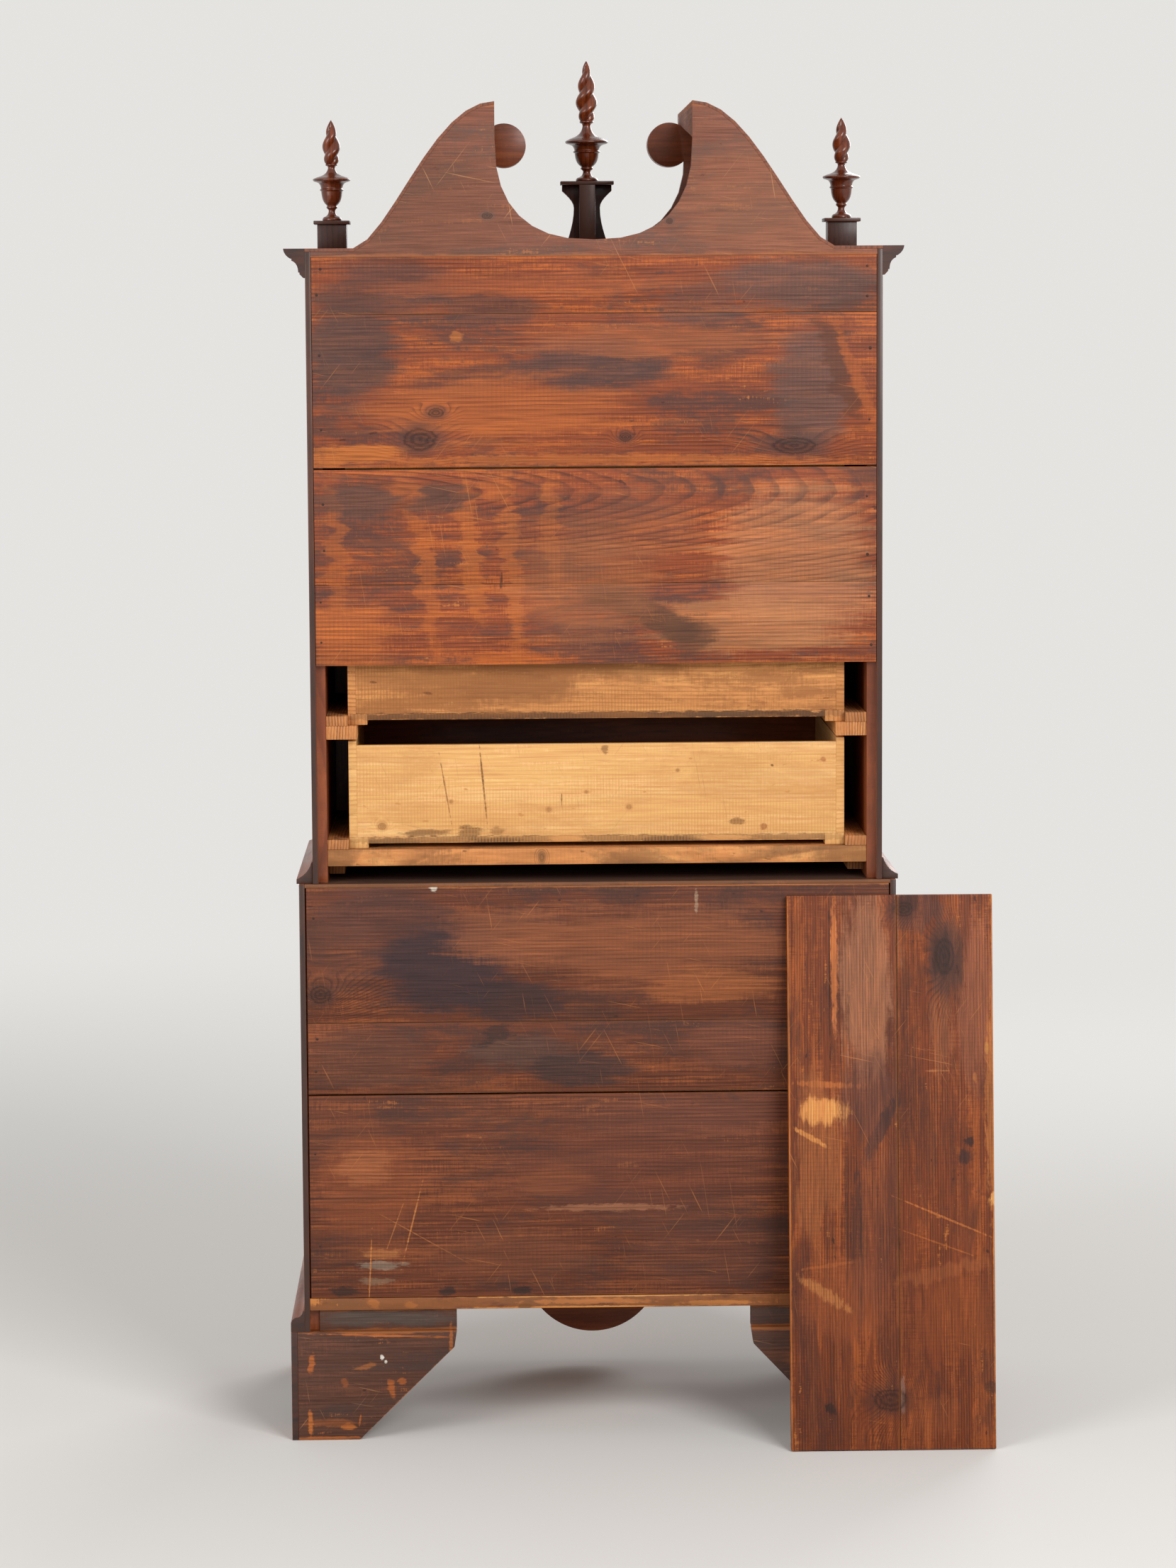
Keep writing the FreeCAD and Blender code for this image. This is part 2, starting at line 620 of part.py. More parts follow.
def middle_plinth(seat):
    """A waisted board scribed to the seat it stands on, a post behind it and a cap over both."""
    top, waist, foot = MID_PLINTH_TOP_W / 2, MID_PLINTH_WAIST_W / 2, MID_PLINTH_FOOT_W / 2
    z0 = CORNICE_TOP + DIP_BOTTOM
    z1 = z0 + MID_PLINTH_H
    y = UPPER_FRONT
    waist_z, shoulder_z = z0 + 0.61 * MID_PLINTH_H, z1 - 0.1 * MID_PLINTH_H

    side = [(foot, z0)]
    for end, start, z_end, z_start in ((waist, foot, waist_z, z0), (top, waist, shoulder_z, waist_z)):
        for i in range(1, WAIST_FLATS + 1):
            a = math.pi / 2 * i / WAIST_FLATS
            share = math.sin(a) if end == waist else 1 - math.cos(a)
            side.append((start + (end - start) * share, z_start + (z_end - z_start) * i / WAIST_FLATS))
    side.append((top, z1))
    board = slab(side + [(-px, pz) for px, pz in reversed(side)], y, y + SCROLL_T).cut(seat)
    post = box(-POST_BACK[0] / 2, POST_BACK[0] / 2, y + SCROLL_T, y + SCROLL_T + POST_BACK[1], UPPER_TOP, z1)
    over = CAP_OVER / 2
    cap = box(-top - over, top + over, y - over, y + SCROLL_T + POST_BACK[1], z1, z1 + CAP_T)
    return [board, post, cap]


def side_plinth():
    y = UPPER_FRONT
    x0, x1, top = PLINTH_X - PLINTH_W / 2, PLINTH_X + PLINTH_W / 2, CORNICE_TOP + PLINTH_H
    over = CAP_OVER
    body = box(x0, x1, y, y + PLINTH_W, CORNICE_TOP, top)
    cap = box(x0 - over, x1 + over, y - over, y + PLINTH_W + over, top, top + CAP_T)
    return [body, cap]


# ---- Backboards ------------------------------------------------------------------------------------------
def back_stack(case, foot, head, shares, end_gap, gap_after):
    """Backboards between two heights, edge to edge but for a gap after the board numbered gap_after."""
    boards, z = [], foot
    for i, share in enumerate(shares):
        h = share * (head - foot - PANEL_GAP) / sum(shares)
        boards.append(box(end_gap - case.rabbet, case.rabbet - end_gap, case.back_face, case.back, z, z + h))
        z += h + (PANEL_GAP if i == gap_after else 0)
    return boards


def loose_panel():
    """The panel taken out of the upper back: two glued boards stood on end, leaning on the lower case."""
    boards, x = [], LOOSE_EDGE_X
    for w in LOOSE_BOARDS:
        boards.append(box(x - w, x, 0, BACK_T, 0, LOOSE_LENGTH))
        x -= w
    lean = math.radians(LOOSE_LEAN_DEG)
    foot_y = LOWER_BACK + LOOSE_CLEAR + LOOSE_LENGTH * math.sin(lean)
    for b in boards:
        b.rotate(V(0, 0, 0), V(1, 0, 0), LOOSE_LEAN_DEG)
        b.translate(V(0, foot_y, 0))
    return boards


# ---- Feet ------------------------------------------------------------------------------------------------
def bracket_outline(edge, width, foot_w):
    """A straight bracket foot from its corner edge inwards: an upright toe, then an ogee up to the rail."""
    h = FOOT_HEIGHT
    toe, rise = edge - foot_w, 0.42 * h
    reach = edge - width
    return toe, rise, reach, h


def curved_bracket(edge, width, foot_w, place, along):
    toe, rise, reach, h = bracket_outline(edge, width, foot_w)
    knee = (toe - 0.35 * (toe - reach), 0.72 * h)
    edges = [
        Part.LineSegment(place(edge, 0), place(edge, h)).toShape(),
        Part.LineSegment(place(edge, h), place(reach, h)).toShape(),
        Part.LineSegment(place(reach, h), place(reach, 0.9 * h)).toShape(),
        Part.Arc(place(reach, 0.9 * h), place((reach + knee[0]) / 2, 0.86 * h), place(*knee)).toShape(),
        Part.Arc(place(*knee), place(toe - 0.02 * h, 0.62 * h), place(toe, rise)).toShape(),
        Part.LineSegment(place(toe, rise), place(toe, 0)).toShape(),
        Part.LineSegment(place(toe, 0), place(edge, 0)).toShape(),
    ]
    return Part.Face(Part.Wire(edges)).extrude(along)


def rear_bracket(width):
    """A plain straight-sawn bracket, not meant to be seen."""
    edge = LOWER_HALF + BASE_OUT - BRACKET_LIP_T
    inner, shoulder = edge - width, FOOT_HEIGHT - REAR_SHOULDER_H
    outline = [(edge, 0), (edge, FOOT_HEIGHT), (inner, FOOT_HEIGHT), (inner + 4, shoulder),
               (edge - BRACKET_FOOT_W, 0)]
    return slab(outline, LOWER_BACK - REAR_BRACKET_T, LOWER_BACK)


def feet():
    out, front = LOWER_HALF + BASE_OUT, LOWER_FRONT - BASE_OUT
    face = curved_bracket(out, BRACKET_W, BRACKET_FOOT_W, lambda a, z: V(a, front, z), V(0, BRACKET_T, 0))
    inner = (out - BRACKET_T, front + BRACKET_T, 0)
    corner = Part.Face(polygon([(out, front, 0), (out, front + BRACKET_T, 0), inner]))
    face = face.cut(corner.extrude(V(0, 0, FOOT_HEIGHT)))
    thick = V(BRACKET_T, 0, 0)
    side = curved_bracket(front, -BRACKET_W, -BRACKET_FOOT_W, lambda a, z: V(out - BRACKET_T, a, z), thick)
    other = Part.Face(polygon([(out, front, 0), inner, (out - BRACKET_T, front, 0)]))
    side = side.cut(other.extrude(V(0, 0, FOOT_HEIGHT)))
    rear = curved_bracket(LOWER_BACK, BRACKET_W, BRACKET_FOOT_W, lambda a, z: V(out - BRACKET_T, a, z), thick)
    seat_y = LOWER_BACK - REAR_BRACKET_T
    rear = rear.cut(box(out - BRACKET_T, out - BRACKET_LIP_T, seat_y, LOWER_BACK, 0, FOOT_HEIGHT))
    backs = [rear_bracket(w) for w in REAR_BRACKET_WIDTHS]
    return [p for piece in (face, side, rear) for p in both(piece)] + [backs[0], mirrored(backs[1])]


def foot_blocks():
    """A glue block in the corner of each foot, and the strips along the top of the back brackets."""
    x1 = LOWER_HALF + BASE_OUT - BRACKET_T
    x0 = x1 - BLOCK_W
    front = LOWER_FRONT - BASE_OUT + BRACKET_T
    back = LOWER_BACK - REAR_BRACKET_T
    blocks = both(box(x0, x1, front, front + BLOCK_W, BLOCK_LIFT, FOOT_HEIGHT))
    blocks += both(box(x0, x1, back - BLOCK_W, back, BLOCK_LIFT, FOOT_HEIGHT))
    strips = []
    y0, y1 = back - STRIP_T / 2, back + STRIP_T / 2
    for width in REAR_BRACKET_WIDTHS:
        end = LOWER_HALF + BASE_OUT - BRACKET_LIP_T - width
        strips.append(box(end, LOWER.inner, y0, y1, FOOT_HEIGHT, FOOT_HEIGHT + BASE_RAIL_H))
    return blocks + [strips[0], mirrored(strips[1])]


def skirt():
    """The rail under the lower floor and the round drop below it."""
    back, top = LOWER_FRONT + BOARD_T, FOOT_HEIGHT + BASE_RAIL_H
    rail = box(-LOWER.opening, LOWER.opening, LOWER_FRONT, back, FOOT_HEIGHT, top)
    front = LOWER_FRONT - BASE_OUT + (BRACKET_T - DROP_T)
    spring = FOOT_HEIGHT - DROP_H + DROP_R
    a, b = V(-DROP_R, front, spring), V(DROP_R, front, spring)
    arc = Part.Arc(a, V(0, front, FOOT_HEIGHT - DROP_H), b).toShape()
    round_end = Part.Face(Part.Wire([arc, Part.LineSegment(b, a).toShape()])).extrude(V(0, DROP_T, 0))
    neck = box(-DROP_R, DROP_R, front, front + DROP_T, spring, FOOT_HEIGHT)
    return [rail, neck.fuse(round_end).removeSplitter()]


# ---- Build -----------------------------------------------------------------------------------------------
save("lower_case_sides", both(case_side(LOWER, LOWER.column_back, 0)))
top = deck(LOWER, LOWER.ceiling, LOWER_TOP, LOWER.back_face)
top_edge = box(-LOWER.rabbet, LOWER.rabbet, LOWER.back_face, LOWER_BACK, LOWER_TOP - TOP_EDGE_LIP, LOWER_TOP)
save("lower_case_top_board", top.fuse(top_edge))
floor = deck(LOWER, LOWER_FLOOR - BOARD_T, LOWER_FLOOR, LOWER.back_face)
floor_edge = box(-LOWER.rabbet, LOWER.rabbet, LOWER.back_face, LOWER_BACK, LOWER_FLOOR - BOARD_T, LOWER_FLOOR)
save("lower_case_bottom_board", floor.fuse(floor_edge))
save("lower_case_backboards",
     back_stack(LOWER, LOWER_FLOOR + 1, LOWER_TOP - TOP_EDGE_LIP, LOWER_BACKS, LOWER_BACK_GAP, 0))
save("lower_quarter_columns", both(quarter_column(LOWER, LOWER_TOP)) + both(stile(LOWER, LOWER_TOP)))
save("bracket_feet", feet())
save("foot_blocks", foot_blocks())
save("skirt_drop", skirt())

mid_w = SETBACK + MID_OVERHANG - MID_FIT
mid = [(0, 0), (0, MID_H), (2, MID_H), (mid_w, 8), (mid_w, 0)]
save("mid_moulding", run_pieces(mid, {2: (0.42 * mid_w, 0.52 * MID_H)}, UPPER_HALF + MID_FIT,
                                UPPER_FRONT - MID_FIT, UPPER_BACK - MID_END_GAP, LOWER_TOP))
base = [(0, 0), (0, BASE_RAIL_H), (3, BASE_RAIL_H), (0.5 * BASE_OUT, 0.7 * BASE_RAIL_H),
        (BASE_OUT, 0.42 * BASE_RAIL_H), (BASE_OUT, 0)]
base_curves = {2: (0.22 * BASE_OUT, 0.82 * BASE_RAIL_H), 3: (0.86 * BASE_OUT, 0.6 * BASE_RAIL_H)}
save("base_moulding", run_pieces(base, base_curves, LOWER_HALF, LOWER_FRONT, LOWER_BACK, FOOT_HEIGHT))

save("upper_case_sides", both(case_side(UPPER, UPPER_FRONT + SCROLL_T, FRIEZE_Z)))
save("upper_case_top_board", box(-UPPER.inner, UPPER.inner, UPPER_FRONT + SCROLL_T, UPPER.back_face,
                                 UPPER_TOP - BOARD_T, UPPER_TOP))
upper_floor = deck(UPPER, UPPER_FLOOR - UPPER_FLOOR_T, UPPER_FLOOR, UPPER.back_face)
cleat = box(UPPER.inner - CLEAT[0], UPPER.inner, UPPER.stile_back, UPPER.back_face - 3 * CLEAT[1],
            UPPER_FLOOR - UPPER_FLOOR_T - CLEAT[1], UPPER_FLOOR - UPPER_FLOOR_T)
save("upper_case_bottom_board", [upper_floor] + both(cleat))
panel_foot = LOWER_TOP + OPEN_SHARE * (REAR_SCROLL_FOOT - LOWER_TOP)
save("upper_case_backboards", back_stack(UPPER, panel_foot, REAR_SCROLL_FOOT, UPPER_BACKS, UPPER_BACK_GAP, 1))
save("loose_backboard", loose_panel())
save("upper_quarter_columns", both(quarter_column(UPPER, FRIEZE_Z)) + both(stile(UPPER, FRIEZE_Z)))

front_dip = SCROLL_END_X + FRONT_DIP_OUT
front_board = scroll_board(UPPER_HALF, FRIEZE_Z, front_dip, UPPER_FRONT, UPPER_FRONT + SCROLL_T)
eye = V(ROSETTE_X, UPPER_FRONT, CORNICE_TOP + ROSETTE_Z)
volute = Part.makeCylinder(ROSETTE_R, SCROLL_T, eye, V(0, 1, 0))
for disc in both(volute):
    front_board = front_board.fuse(disc)
save("front_scroll_board", front_board.removeSplitter())
save("rear_scroll_board",
     scroll_board(UPPER.rabbet, REAR_SCROLL_FOOT, SCROLL_END_X, UPPER.back_face, UPPER_BACK))
save("bonnet_boards", roof_boards() + both(end_board()))
save("cornice_mouldings", both(swan_neck()) + both(side_cornice()))
disc = [(ROSETTE_R, 0), (ROSETTE_R, 0.75 * ROSETTE_T), (0.75 * ROSETTE_R, ROSETTE_T)]
rosette = turned(disc, ROSETTE_SIDES)
rosette.rotate(V(0, 0, 0), V(1, 0, 0), 90)
rosette.translate(eye)
save("rosettes", both(rosette))
save("finial_plinths", middle_plinth(front_board) + [p for piece in side_plinth() for p in both(piece)])
mid_finial = (0, UPPER_FRONT + PLINTH_W / 2, CORNICE_TOP + DIP_BOTTOM + MID_PLINTH_H + CAP_T)
side_finial = (PLINTH_X, UPPER_FRONT + PLINTH_W / 2, CORNICE_TOP + PLINTH_H + CAP_T)
for name, make in (("finial_urns", urn), ("finial_flames", flame)):
    side = make(SIDE_FINIAL, SIDE_FINIAL_R, *side_finial)
    twin = side.copy()
    twin.translate(V(-2 * PLINTH_X, 0, 0))
    save(name, [make(FINIAL, FINIAL_R, *mid_finial), side, twin])

stacks = (("upper", UPPER, UPPER_DRAWERS, UPPER_STEP), ("lower", LOWER, LOWER_DRAWERS, LOWER_STEP))
for part, case, count, step in stacks:
    places = openings(case, count, step)
    save(f"{part}_drawer_dividers", [divider(case, z) for z, _ in places[:-1]])
    runners = [p for z, _ in places[:-1] for p in both(runner(case, z))]
    save(f"{part}_drawer_runners", runners + [p for z, _ in places for p in both(guide(case, z))])
    for i, (z, h) in enumerate(places):
        save_drawer(f"{part}_drawer_{i + 1}", case, z, h)
places = [place for _, case, count, step in stacks for place in openings(case, count, step)]
print("openings", [(round(z, 1), round(h, 1)) for z, h in places])
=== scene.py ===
"""Looks for the bonnet-top chest-on-chest, laid out as a Blender add-on and run as a script.

Metres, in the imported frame: +X to the right and +Z up as seen from the front. The fronts face -Y.
"""
import json
import math
import random

import bmesh
import bpy
from bpy.props import FloatProperty, FloatVectorProperty, IntProperty, PointerProperty
from mathutils import Matrix, Vector


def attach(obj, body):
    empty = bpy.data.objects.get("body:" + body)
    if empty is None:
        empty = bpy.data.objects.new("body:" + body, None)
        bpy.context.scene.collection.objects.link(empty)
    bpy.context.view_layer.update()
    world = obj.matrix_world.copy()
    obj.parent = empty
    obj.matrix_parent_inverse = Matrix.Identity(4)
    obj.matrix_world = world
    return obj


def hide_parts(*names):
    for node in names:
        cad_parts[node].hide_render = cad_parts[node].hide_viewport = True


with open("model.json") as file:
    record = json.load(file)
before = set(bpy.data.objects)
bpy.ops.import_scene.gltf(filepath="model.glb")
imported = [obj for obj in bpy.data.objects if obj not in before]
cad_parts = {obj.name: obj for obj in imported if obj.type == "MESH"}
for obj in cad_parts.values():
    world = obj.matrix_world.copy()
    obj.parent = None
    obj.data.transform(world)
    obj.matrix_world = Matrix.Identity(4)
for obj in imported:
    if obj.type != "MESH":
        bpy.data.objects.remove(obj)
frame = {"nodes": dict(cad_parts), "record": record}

bl_info = {
    "name": "Bonnet-top chest-on-chest",
    "version": (1, 0, 0),
    "blender": (4, 5, 0),
    "location": "View3D > Sidebar > Chest",
    "description": "Dresses the chest's frame with eased boards, mouldings, finials, brasses and old wood",
    "category": "Object",
}

MM = 0.001
NODES = frame["nodes"]
BODY_OF = {node: body for body, names in frame["record"]["behaviour"]["bodies"].items() for node in names}
DRAWERS = [name[:-4] for name in sorted(NODES) if name.endswith("_box")]


# ---- Colour and nodes ------------------------------------------------------------------------------
def linear(code):
    """An sRGB hex colour as the linear values that shaders use."""
    parts = [int(code[i:i + 2], 16) / 255 for i in (1, 3, 5)]
    return tuple(c / 12.92 if c <= 0.04045 else ((c + 0.055) / 1.055) ** 2.4 for c in parts) + (1.0,)


def add(tree, kind, inputs=None, give=0, **settings):
    """Adds a node, sets and links it, and gives one of its outputs. An input is a value or such an output."""
    node = tree.nodes.new(kind)
    for name, value in settings.items():
        setattr(node, name, value)
    for name, value in (inputs or {}).items():
        if isinstance(value, Field):
            tree.links.new(value.socket, node.inputs[name])
        else:
            node.inputs[name].default_value = value
    return Field(node.outputs[give]) if node.outputs else None


class Field:
    """What a node gives out. A sum that is written with it becomes nodes in its tree."""

    def __init__(self, socket):
        self.socket = socket
        self.tree = socket.id_data

    def reckon(self, operation, *others):
        """One step of a sum, on this value and the others."""
        return add(self.tree, "ShaderNodeMath", dict(enumerate((self, *others))), operation=operation)

    def __add__(self, other):
        return self.reckon("ADD", other)

    def __sub__(self, other):
        return self.reckon("SUBTRACT", other)

    def __rsub__(self, other):
        return self.reckon("MULTIPLY_ADD", -1.0, other)

    def __mul__(self, other):
        return self.reckon("MULTIPLY", other)

    def __truediv__(self, other):
        return self.reckon("DIVIDE", other)

    def __pow__(self, other):
        return self.reckon("POWER", other)

    def __gt__(self, other):
        return self.reckon("GREATER_THAN", other)

    def __lt__(self, other):
        return self.reckon("LESS_THAN", other)

    def parts(self):
        """The X, Y and Z of a vector."""
        split = add(self.tree, "ShaderNodeSeparateXYZ", {0: self}).socket.node
        return [Field(socket) for socket in split.outputs]

    def smooth(self, start, end):
        """0 where this is at start, 1 at end and smooth between. Start may be the larger."""
        inputs = {"Value": self, "From Min": start, "From Max": end}
        return add(self.tree, "ShaderNodeMapRange", inputs, interpolation_type="SMOOTHSTEP")


def painted(tree, under, over, amount, blend="MIX"):
    """One colour laid over another by an amount. A colour is an sRGB code, four values or a field."""
    under, over = (linear(colour) if isinstance(colour, str) else colour for colour in (under, over))
    inputs = {0: amount, 6: under, 7: over}
    return add(tree, "ShaderNodeMix", inputs, give=2, data_type="RGBA", blend_type=blend)


def shaded(colour, tone, greys, amount):
    """A colour made darker and lighter by a tone, whose greys are given as (tone, grey)."""
    shade = add(colour.tree, "ShaderNodeValToRGB", {"Fac": tone})
    elements = shade.socket.node.color_ramp.elements
    while len(elements) < len(greys):
        elements.new(0.5)
    for element, (position, grey) in zip(elements, greys):
        element.position, element.color = position, (grey, grey, grey, 1.0)
    return painted(colour.tree, colour, shade, amount, "OVERLAY")


def new_material(name):
    """An empty material and its node tree."""
    material = bpy.data.materials.new(name)
    material.use_nodes = True
    material.node_tree.nodes.clear()
    return material, material.node_tree


# ---- Marks of age, and a little painted shade, in metres -----------------------------------------------
# A stain is the X and Z of its middle, its half width and half height, its tilt in degrees, its colour and
# its strength. A knot is a middle and half sizes. A swirl is where the rings bend, and by how many rings.
# Arches are where the heart leaves the face, its height, its slope and the foot and head of that board.
UPPER_STAINS = [
    (0.0, 1.8303, 2.0, 0.0009, 0, "#1d110d", 0.8), (0.0, 1.3997, 2.0, 0.0009, 0, "#1d110d", 0.8),
    (0.394, 1.767, 0.07, 0.09, 0, "#483834", 0.8), (0.336, 1.874, 0.101, 0.051, 0, "#533a34", 0.7),
    (0.168, 1.833, 0.079, 0.034, 0, "#503832", 0.7), (0.005, 1.748, 0.113, 0.047, 0, "#4a3835", 0.8),
    (0.225, 1.716, 0.068, 0.025, 0, "#4a3531", 0.6), (-0.346, 1.701, 0.062, 0.096, 0, "#5a4640", 0.75),
    (-0.318, 1.875, 0.135, 0.038, 0, "#5c4842", 0.7), (-0.171, 1.842, 0.068, 0.034, 0, "#57413b", 0.5),
    (0.158, 1.681, 0.214, 0.047, 0, "#a85a2c", 0.75), (-0.08, 1.787, 0.192, 0.025, 0, "#a65c33", 0.5),
    (0.088, 1.878, 0.282, 0.018, 0, "#9c5330", 0.5), (0.385, 1.607, 0.079, 0.016, 0, "#bb6a30", 0.8),
    (-0.011, 1.598, 0.372, 0.008, 0, "#b4642f", 0.6), (0.221, 1.794, 0.01, 0.008, 0, "#b86c34", 0.6),
    (-0.394, 1.734, 0.018, 0.088, -20, "#5a3322", 0.75), (-0.42, 1.723, 0.009, 0.09, -22, "#a25428", 0.8),
    (0.399, 1.326, 0.079, 0.056, 0, "#b8642e", 0.6), (0.2, 1.455, 0.016, 0.13, -6, "#b8642c", 0.6),
    (0.135, 1.44, 0.0155, 0.15, -4, "#b8642c", 0.6), (0.276, 1.43, 0.0155, 0.14, -7, "#b8622a", 0.55),
    (0.329, 1.541, 0.113, 0.029, 0, "#6a3a24", 0.6), (-0.056, 1.482, 0.101, 0.068, 0, "#7a4a34", 0.5),
    (-0.329, 1.423, 0.13, 0.12, 0, "#b87c54", 0.55), (-0.25, 1.33, 0.15, 0.05, 0, "#b4784c", 0.55),
    (-0.084, 1.351, 0.096, 0.023, 28, "#4f3426", 0.85), (-0.022, 1.369, 0.051, 0.018, 30, "#452d22", 0.7),
    (-0.152, 1.311, 0.034, 0.029, 0, "#573828", 0.6), (0.152, 1.404, 0.002, 0.014, 4, "#2f1c14", 0.8),
    (0.072, 1.49, 0.016, 0.11, -5, "#b8642c", 0.5), (0.414, 1.45, 0.015, 0.12, -4, "#b05e2a", 0.5),
    (0.38, 1.53, 0.06, 0.03, 0, "#4b3b36", 0.65), (0.25, 1.535, 0.05, 0.028, 0, "#4d3b35", 0.6),
    (0.31, 1.555, 0.03, 0.02, 0, "#a85a2c", 0.6), (0.16, 1.55, 0.03, 0.022, 0, "#b4602c", 0.6),
    (0.06, 1.46, 0.09, 0.09, 0, "#6a4636", 0.3), (0.02, 1.39, 0.12, 0.08, 0, "#a8663e", 0.4),
]
UPPER_KNOTS = [
    (0.28, 1.632, 0.029, 0.02), (-0.048, 1.633, 0.01, 0.008), (0.254, 1.674, 0.015, 0.008),
    (-0.318, 1.618, 0.038, 0.015),
]
UPPER_ARCHES = [(0.42, 1.548, 0.13, 1.393, 1.584)]
LOWER_STAINS = [
    (0.0, 0.6902, 2.0, 0.0009, 0, "#180e0b", 0.8), (-0.15, 0.9105, 0.5, 0.002, 0, "#b06a38", 0.65),
    (0.246, 0.78, 0.107, 0.07, 0, "#35282b", 0.9), (0.143, 0.726, 0.079, 0.038, 0, "#3a2a2a", 0.75),
    (0.348, 0.873, 0.101, 0.052, 0, "#4c2f28", 0.7), (0.417, 0.804, 0.068, 0.056, 0, "#6b4030", 0.4),
    (-0.076, 0.811, 0.237, 0.062, 0, "#8a4f30", 0.7), (0.142, 0.831, 0.101, 0.041, 0, "#8e5233", 0.6),
    (-0.19, 0.746, 0.101, 0.029, 0, "#93552f", 0.6), (0.265, 0.91, 0.006, 0.006, 0, "#d8cdbc", 0.9),
    (-0.159, 0.886, 0.003, 0.02, 0, "#a98a70", 0.6), (0.132, 0.637, 0.079, 0.026, 0, "#5c453b", 0.45),
    (0.029, 0.609, 0.079, 0.029, 0, "#362a29", 0.8), (0.373, 0.63, 0.101, 0.045, 0, "#57392d", 0.5),
    (0.166, 0.668, 0.029, 0.014, -30, "#2c211f", 0.7), (-0.225, 0.653, 0.09, 0.041, 0, "#774430", 0.6),
    (0.376, 0.42, 0.085, 0.107, 0, "#8c4a28", 0.5), (0.381, 0.455, 0.04, 0.032, 0, "#a5623a", 0.45),
    (0.355, 0.309, 0.033, 0.008, 0, "#a8693c", 0.7), (0.353, 0.29, 0.035, 0.007, 0, "#8f7a68", 0.7),
    (0.362, 0.264, 0.03, 0.006, 0, "#8a6f58", 0.55), (0.416, 0.247, 0.022, 0.008, 0, "#33241f", 0.8),
    (0.25, 0.246, 0.013, 0.0075, 0, "#30221f", 0.85), (0.126, 0.246, 0.017, 0.0075, 0, "#30221f", 0.85),
    (0.374, 0.29, 0.0011, 0.05, 3, "#c47a40", 0.8), (0.305, 0.36, 0.0013, 0.06, 14, "#c07a42", 0.75),
    (0.335, 0.35, 0.001, 0.045, 20, "#b8733e", 0.6), (0.28, 0.33, 0.09, 0.0009, 30, "#b06a38", 0.6),
    (-0.051, 0.438, 0.214, 0.068, 0, "#6c3a28", 0.5), (0.07, 0.428, 0.06, 0.03, 0, "#84492a", 0.4),
    (-0.016, 0.382, 0.101, 0.006, 0, "#a0694a", 0.6), (-0.121, 0.531, 0.169, 0.034, 0, "#6a3c2c", 0.5),
    (-0.166, 0.308, 0.124, 0.056, 0, "#623a2c", 0.5), (0.146, 0.306, 0.135, 0.045, 0, "#7c482f", 0.4),
    (0.356, 0.135, 0.005, 0.007, 0, "#cfc4b6", 0.95), (0.381, 0.122, 0.011, 0.005, 20, "#b5aa9c", 0.8),
    (0.415, 0.055, 0.068, 0.023, 0, "#84502e", 0.5), (0.46, 0.126, 0.018, 0.045, 0, "#8b5230", 0.45),
]
LOWER_KNOTS = [(0.45, 0.737, 0.019, 0.016)]
LOWER_SWIRLS = [(0.441, 0.741, 0.107, 0.07, 2.2)]
